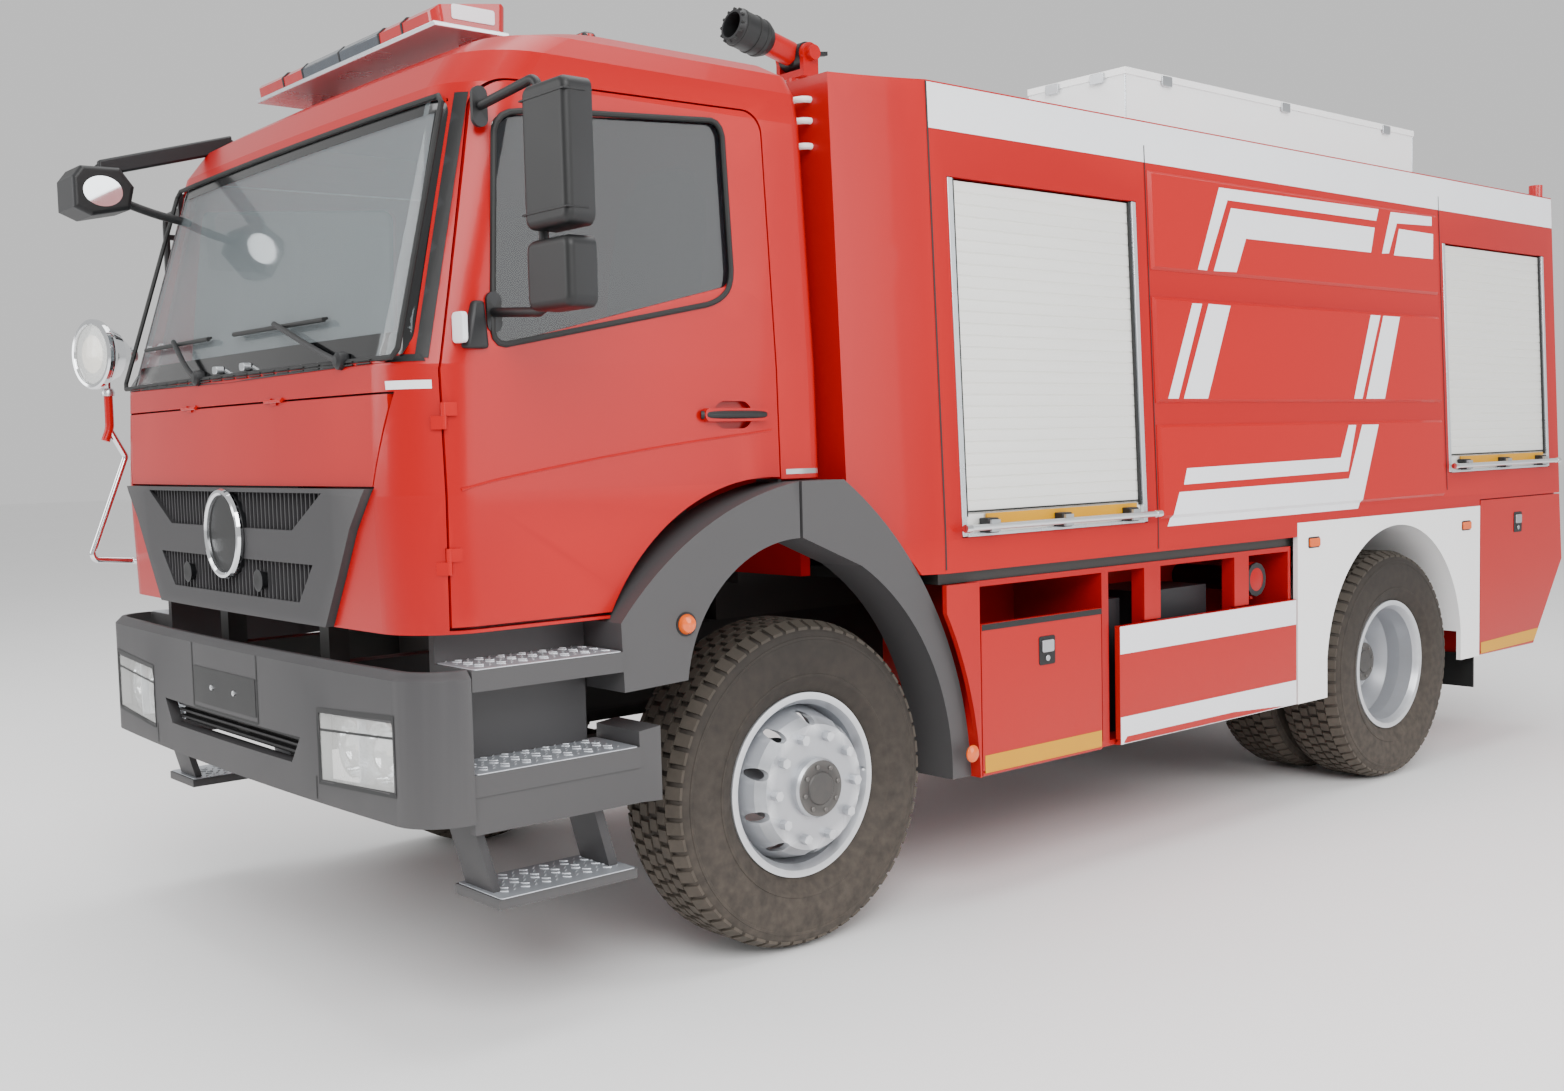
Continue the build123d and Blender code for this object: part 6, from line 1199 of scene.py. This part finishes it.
@dataclass
class RoofGear:
    """Light bar lenses, roof lamps, monitor details and locker latches."""

    bar_front: float = A - 966
    bar_rear: float = A - 710
    bar_low: float = 2892.0
    bar_height: float = 92.0

    def make(self) -> None:
        """Build what stands on the roofs."""
        self._light_bar()
        self._monitor()
        self._locker()

    def _light_bar(self) -> None:
        """Clad the bar's middle in smoked lens, rim it in aluminium and divide its lenses."""
        f, r, z, h = self.bar_front, self.bar_rear, self.bar_low, self.bar_height
        section = [(f + 4.4, z + 7), (f - 1.6, z + 40), (f + 19, z + 60), (r - 24.6, z + h + 1.8),
                   (r + 1.6, z + h - 11), (r - 2.4, z + 7)]
        Mould().prism([(-262, y, v) for y, v in section], (560, 0, 0)).piece("bar_middle_lens", SMOKE_LENS,
                                                                             bevel_mm=3.0)
        rim = [(f + 2, z - 6), (f - 1, z + 8), (r + 1, z + 8), (r, z - 6)]
        Mould().prism([(-652, y, v) for y, v in rim], (1304, 0, 0)).piece("bar_rim", EXTRUDED, bevel_mm=2.5)
        ribs = Mould()
        for x in (-420, -262, 18, 298, 450):
            ribs.prism([(x - 5, y, v) for y,
                        v in [(f + 3, z + 6), (f - 3.6, z + 40), (f + 18, z + 62), (r - 25, z + h + 4),
                              (r + 3, z + h - 10), (r - 1, z + 6)]], (10, 0, 0))
        ribs.piece("bar_ribs", BLACK_ABS, bevel_mm=1.5)
        Mould().pad((648, 653.5), (f + 60, r - 50), (z + 22, z + 66), 8, 0).piece("bar_end_label",
                                                                                  WHITE_FILM, bevel_mm=1.0)
        housings = Mould()
        for x in (810, -810):
            housings.taper(((x - 66, x + 66), (A - 590, A - 528), 2843),
                           ((x - 54, x + 54), (A - 580, A - 540), 2884))
        housings.piece("roof_lamp_housings", BLACK_ABS, slot="black_plastic", bevel_mm=9.0)

    def _monitor(self) -> None:
        """Add the nozzle's grips to the barrel and the flange bolts to the riser."""
        pitch = math.radians(13)
        way = Vector((0, -math.cos(pitch), math.sin(pitch)))
        centre = Vector((0, A + 1040, 3200))
        rings = Mould()
        for reach, radius in ((212, 76), (250, 77.5), (318, 76)):
            rings.turn(tuple(centre + way * reach), tuple(way),
                       [(radius - 4, -7), (radius, -5), (radius, 5), (radius - 4, 7)], 36)
        for turn in angles(12):
            spot = centre + way * 345 + Vector((math.cos(turn), 0, 0)) * 66
            spot += Vector((0, way.z, -way.y)) * (66 * math.sin(turn))
            rings.turn(tuple(spot), tuple(way), [(0, -6), (7, -6), (6, 5), (0, 6)], 10)
        rings.piece("nozzle_grips", RUBBER_SEAL, "monitor_barrel", "black_plastic")
        elbow = Mould().tube([(tuple(centre + way * 40)), tuple(centre + way * 120),
                              tuple(centre + way * 178)], 49, 24, 1)
        elbow.piece("barrel_elbow", RED, "monitor_barrel", "red_paint")
        flange = Mould().turn((0, A + 1040, 2858), (0, 0, 1), [(60, -24), (112, -24), (114, -14), (62, -10)],
                              48)
        for k in range(8):
            turn = math.pi * k / 4
            flange.turn((92 * math.cos(turn), A + 1040 + 92 * math.sin(turn), 2834), (0, 0, 1),
                        [(0, 0), (11, 0), (11, 18), (0, 20)], 6)
        flange.piece("riser_flange", RED, slot="red_paint")

    def _locker(self) -> None:
        """Fit the lid's latches and the locker's corner strips."""
        latches = Mould()
        for y in (A + 2150, A + 3030, A + 3910):
            latches.pad((1006.5, 1013), (y - 34, y + 34), (3040, 3080), 6, 0)
        for x in (640, 870):
            latches.pad((x - 34, x + 34), (A + 1870, A + 1878), (3040, 3080), 6, 1)
        latches.piece("locker_latches", BRUSHED, "locker_lid", "bright_steel", 1.5)
        strips = Mould()
        for x in (510, 1000):
            for y in (A + 1886, A + 4176):
                strips.block((x - 3, x + 3), (y - 3, y + 3), (2830, 3056))
        strips.piece("locker_corner_strips", EXTRUDED, bevel_mm=1.0)


@dataclass
class MirrorsAndLamps:
    """Mirror glass, the search lamp's lens and its painted stem, and the rear lamps' lenses."""

    lamp: Point3 = (-1210.0, A - 1400, 2020.0)
    lamp_turn: float = 13.0

    def make(self) -> None:
        """Build the mirrors' glass and the lamps' faces."""
        glass = Mould()
        for z_low, z_high in ((2190, 2556), (1985, 2165)):
            glass.pad((1378, 1556), (A - 1040.5, A - 1037), (z_low + 14, z_high - 14), 20, 1)
        glass.piece("door_mirror_glass_left", MIRROR, "cab_door_left", "lamp_chrome", 1.0)
        ribs = Mould()
        for z in (2228, 2516):
            ribs.pad((1362, 1572), (A - 1126, A - 1060), (z, z + 5), 2, 1)
        ribs.piece("mirror_housing_ribs", BLACK_ABS, "cab_door_left", bevel_mm=1.0)
        right = Mould().pad((-1482.6, -1479.0), (A - 812, A - 617), (2404, 2615), 24, 0)
        right.piece("door_mirror_glass_right", MIRROR, "cab_door_right", "lamp_chrome", 1.0)
        oval = [(A - 1462 + 66 * math.cos(t), 2556 + 52 * math.sin(t)) for t in angles(28)]
        Film("kerb_mirror_glass", [oval], View.LEFT, ("kerb_mirror",), MIRROR, lift=1.0, grid=30).lay()
        arm = Mould().hull([(-916, A - 966, 2752), (-884, A - 966, 2752), (-884, A - 966, 2812),
                            (-916, A - 966, 2812)],
                           [(-914, A - 1446, 2618), (-886, A - 1446, 2618), (-886, A - 1446, 2676),
                            (-914, A - 1446, 2676)])
        arm.tube([(-896, A - 1396, 2546), (-896, A - 1250, 2500), (-896, A - 1130, 2480)], 15, 12, 2)
        arm.piece("kerb_mirror_arm", BLACK_ABS, slot="black_plastic", bevel_mm=8.0)
        self._search_lamp()
        self._rear_lamps()

    def _search_lamp(self) -> None:
        """Close the search lamp with its rim, lens and bulb glow, and paint its stem."""
        turn = math.radians(self.lamp_turn)
        way = (math.sin(turn), -math.cos(turn), 0.0)
        Mould().turn(self.lamp, way, [(108, 3), (112, 9), (122, 10), (129, 4), (130, -8), (127, -12)],
                     56).piece(
"search_lamp_rim", CHROME, slot="lamp_chrome")
        Mould().turn(self.lamp, way, [(0, 1), (112, 1), (108, 8), (84, 17), (50, 24), (0, 27)], 56).piece(
            "search_lamp_lens", LAMP_LENS, slot="lamp_glass")
        Mould().turn(self.lamp, way, [(0, 0.3), (70, 0.3), (70, 0.9), (34, 4), (0, 7)],
                     40).piece("search_lamp_bulb", WARM_LENS)
        x, y, z = self.lamp
        Mould().tube([(x, y + 30, 1700), (x, y + 47, 1745), (x, y + 48, 1780), (x, y + 48, 1868)], 15.5, 14,
                     2).piece(
"search_lamp_sleeve", RED, slot="red_paint")
        Mould().turn((x, y + 48, 1880), (0, 0, 1), [(0, -14), (22, -14), (24, 0), (18, 14), (0, 14)],
                     24).piece(
"search_lamp_clamp", BRUSHED)
        knob = (x - 152 * way[0], y - 152 * way[1], z)
        Mould().turn(knob, way, [(0, -12), (32, -12), (34, -6), (32, 6), (0, 6)],
                     24).piece("search_lamp_cap", BRUSHED)

    def _rear_lamps(self) -> None:
        """Divide the tail lamps with amber lenses."""
        lenses = Mould()
        for low, high in ((832, 940), (1000, 1050)):
            lenses.pad((low, high), (BODY_REAR + 39.0, BODY_REAR + 41.5), (1198, 1224), 4, 1)
        lenses.mirrored().piece("tail_lamp_amber", AMBER_LENS, bevel_mm=0.8)


@dataclass
class SeatShape:
    """One seat: a crowned cushion and back in cloth on a moulded plinth."""

    x: float
    name: str
    floor: float = 1570.0
    roundness: float = 0.42
    crown: float = 0.12
    seam: tuple[float, float, float] = (0.10, 0.55, 0.07)

    def make(self, first: bool) -> None:
        """Build the seat; the first one stands for the CAD seats."""
        cushion = self._pad(f"seat_cushion_{self.name}", (self.x, A - 375, self.floor + 250), (242, 250, 66),
                            0.0)
        back = self._pad(f"seat_back_{self.name}", (self.x, A - 96, self.floor + 600), (222, 62, 372), 9.0)
        head = self._pad(f"seat_head_{self.name}", (self.x, A - 42, self.floor + 935), (140, 42, 56), 9.0)
        if first:
            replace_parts(cushion, "seats")
        plinth = Mould().taper(((self.x - 170, self.x + 170), (A - 560, A - 160), self.floor + 1),
                               ((self.x - 200, self.x + 200), (A - 590, A - 120), self.floor + 196))
        plinth.piece(f"seat_plinth_{self.name}", VINYL, slot="seat_cloth", bevel_mm=14.0)

    def _pad(self, name: str, centre: Point3, half: Point3, lean: float) -> bpy.types.Object:
        """Form one padded block whose faces crown and whose sides pull in.

        Args:
            name: The piece's name.
            centre: Its centre.
            half: Half its size along each axis.
            lean: How far it leans back, in degrees.

        Returns:
            The piece.
        """
        mould = Mould()
        bmesh.ops.create_cube(mould.mesh, size=2.0)
        bmesh.ops.subdivide_edges(mould.mesh, edges=list(mould.mesh.edges), cuts=7, use_grid_fill=True)
        thin = half.index(min(half))
        depth, place, width = self.seam
        for vert in mould.mesh.verts:
            u = vert.co.copy()
            pairs = [(u[i - 1] ** 2, u[i - 2] ** 2) for i in range(3)]
            ball = Vector([u[i] * math.sqrt(max(1 - a / 2 - b / 2 + a * b / 3, 0)) for i,
                           (a, b) in enumerate(pairs)])
            mixed = u.lerp(ball, self.roundness)
            flat = [abs(mixed[i]) for i in range(3) if i != thin]
            channel = depth * math.exp(-((abs(mixed[0]) - place) / width) ** 2) if thin != 0 else 0.0
            mixed[thin] *= 1.0 + self.crown * (1 - flat[0] ** 2) * (1 - flat[1] ** 2) - channel
            vert.co = Vector([mixed[i] * half[i] for i in range(3)])
        bmesh.ops.rotate(mould.mesh, cent=(0, 0, 0), verts=list(mould.mesh.verts),
                         matrix=Matrix.Rotation(math.radians(-lean), 3, "X"))
        bmesh.ops.translate(mould.mesh, vec=Vector(centre), verts=list(mould.mesh.verts))
        return mould.piece(name, CLOTH, slot="seat_cloth", subdivide=1)


@dataclass
class Interior:
    """Seats, instrument cowl and steering wheel rim seen through the glass."""

    def make(self) -> None:
        """Build the cab's inside."""
        for number, (x, name) in enumerate(((520.0, "left"), (-520.0, "right"))):
            SeatShape(x, name).make(number == 0)
        centre = Vector((520, CAB_FRONT + 100 + 390, 1824))
        axis = Vector((0, 0.62, 0.78))
        other = Vector((1, 0, 0)).cross(axis)
        rim = [tuple(centre + axis * 8 + (Vector((1, 0, 0)) * math.cos(t) + other * math.sin(t)) * 215)
               for t in angles(24)]
        Mould().tube(rim, 13, 10, 1, True).piece("steering_rim", VINYL, slot="black_plastic")
        cowl = Mould().hull([(330, CAB_FRONT + 210, 1800), (710, CAB_FRONT + 210, 1800),
                             (710, CAB_FRONT + 400, 1800), (330, CAB_FRONT + 400, 1800)],
                            [(370, CAB_FRONT + 230, 1900), (670, CAB_FRONT + 230, 1900),
                             (670, CAB_FRONT + 390, 1880), (370, CAB_FRONT + 390, 1880)])
        cowl.piece("instrument_cowl", VINYL, slot="black_plastic", bevel_mm=16.0)


@dataclass
class Studio:
    """Pale floor, soft lights and the camera at the photograph's angle."""

    position: Point3 = (4.894, -5.209, 1.632)
    yaw: float = 49.05
    pitch: float = 3.96
    roll: float = -1.37
    lens: float = 36.23
    shift: Point2 = (-0.0056, 0.0041)

    def make(self) -> None:
        """Build the floor, the lights and the camera."""
        self._camera()
        mould = Mould()
        mould.mesh.faces.new([mould.mesh.verts.new(Vector(p)) for p in (
            (-60, -60, -0.002), (60, -60, -0.002), (60, 60, -0.002), (-60, 60, -0.002))])
        data = bpy.data.meshes.new("studio_floor")
        mould.mesh.to_mesh(data)
        data.materials.append(FLOOR.material())
        floor = bpy.data.objects.new("studio_floor", data)
        bpy.context.scene.collection.objects.link(floor)
        world = bpy.data.worlds.new("soft_white")
        bpy.context.scene.world = world
        world.use_nodes = True
        sky = world.node_tree.nodes["Background"]
        sky.inputs[0].default_value = (1.0, 1.0, 1.0, 1.0)
        sky.inputs[1].default_value = 0.75
        for name, place, size, power, target in (
                ("key", (9.0, -7.0, 8.0), 7.0, 1400.0, (0.5, -1.0, 1.4)),
                ("side", (11.0, 3.0, 4.0), 6.0, 450.0, (1.0, 1.0, 1.4)),
                ("top", (0.0, 0.0, 11.0), 9.0, 900.0, (0.0, 0.0, 1.0)),
                ("front", (-5.0, -11.0, 5.0), 6.0, 500.0, (0.0, -3.0, 1.4))):
            self._light(name, place, size, power, target)

    def _light(self, name: str, place: Point3, size: float, power: float, target: Point3) -> None:
        """Hang one soft square light that looks at a point."""
        lamp = bpy.data.lights.new(name, "AREA")
        lamp.size = size
        lamp.energy = power
        hung = bpy.data.objects.new(name, lamp)
        hung.location = place
        hung.rotation_euler = (Vector(target) - Vector(place)).to_track_quat("-Z", "Y").to_euler()
        bpy.context.scene.collection.objects.link(hung)

    def _camera(self) -> None:
        """Set the camera where the photograph was taken from."""
        yaw, pitch, roll = (math.radians(v) for v in (self.yaw, self.pitch, self.roll))
        ahead = Vector((-math.sin(yaw) * math.cos(pitch), math.cos(yaw) * math.cos(pitch), -math.sin(pitch)))
        right = ahead.cross(Vector((0, 0, 1))).normalized()
        up = right.cross(ahead)
        across = right * math.cos(roll) + up * math.sin(roll)
        above = -right * math.sin(roll) + up * math.cos(roll)
        optics = bpy.data.cameras.new("camera")
        optics.lens = self.lens
        optics.sensor_width = 36.0
        optics.sensor_fit = "HORIZONTAL"
        optics.shift_x, optics.shift_y = self.shift
        optics.clip_end = 200.0
        camera = bpy.data.objects.new("camera", optics)
        turned = Matrix((across, above, -ahead)).transposed().to_4x4()
        camera.matrix_world = Matrix.Translation(Vector(self.position)) @ turned
        bpy.context.scene.collection.objects.link(camera)
        bpy.context.scene.camera = camera


def main() -> None:
    """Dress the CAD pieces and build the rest."""
    logging.basicConfig(level=logging.INFO, format="%(message)s")
    CadFinishes().dress()
    for part in (CabTrim(), FrontTrim(), SideMarkings(), BodyHardware(), Wheels(), RoofGear(),
                 MirrorsAndLamps(), Interior(), Studio()):
        part.make()
        LOG.info("%s is done", type(part).__name__)


if __name__ == "__main__":
    main()
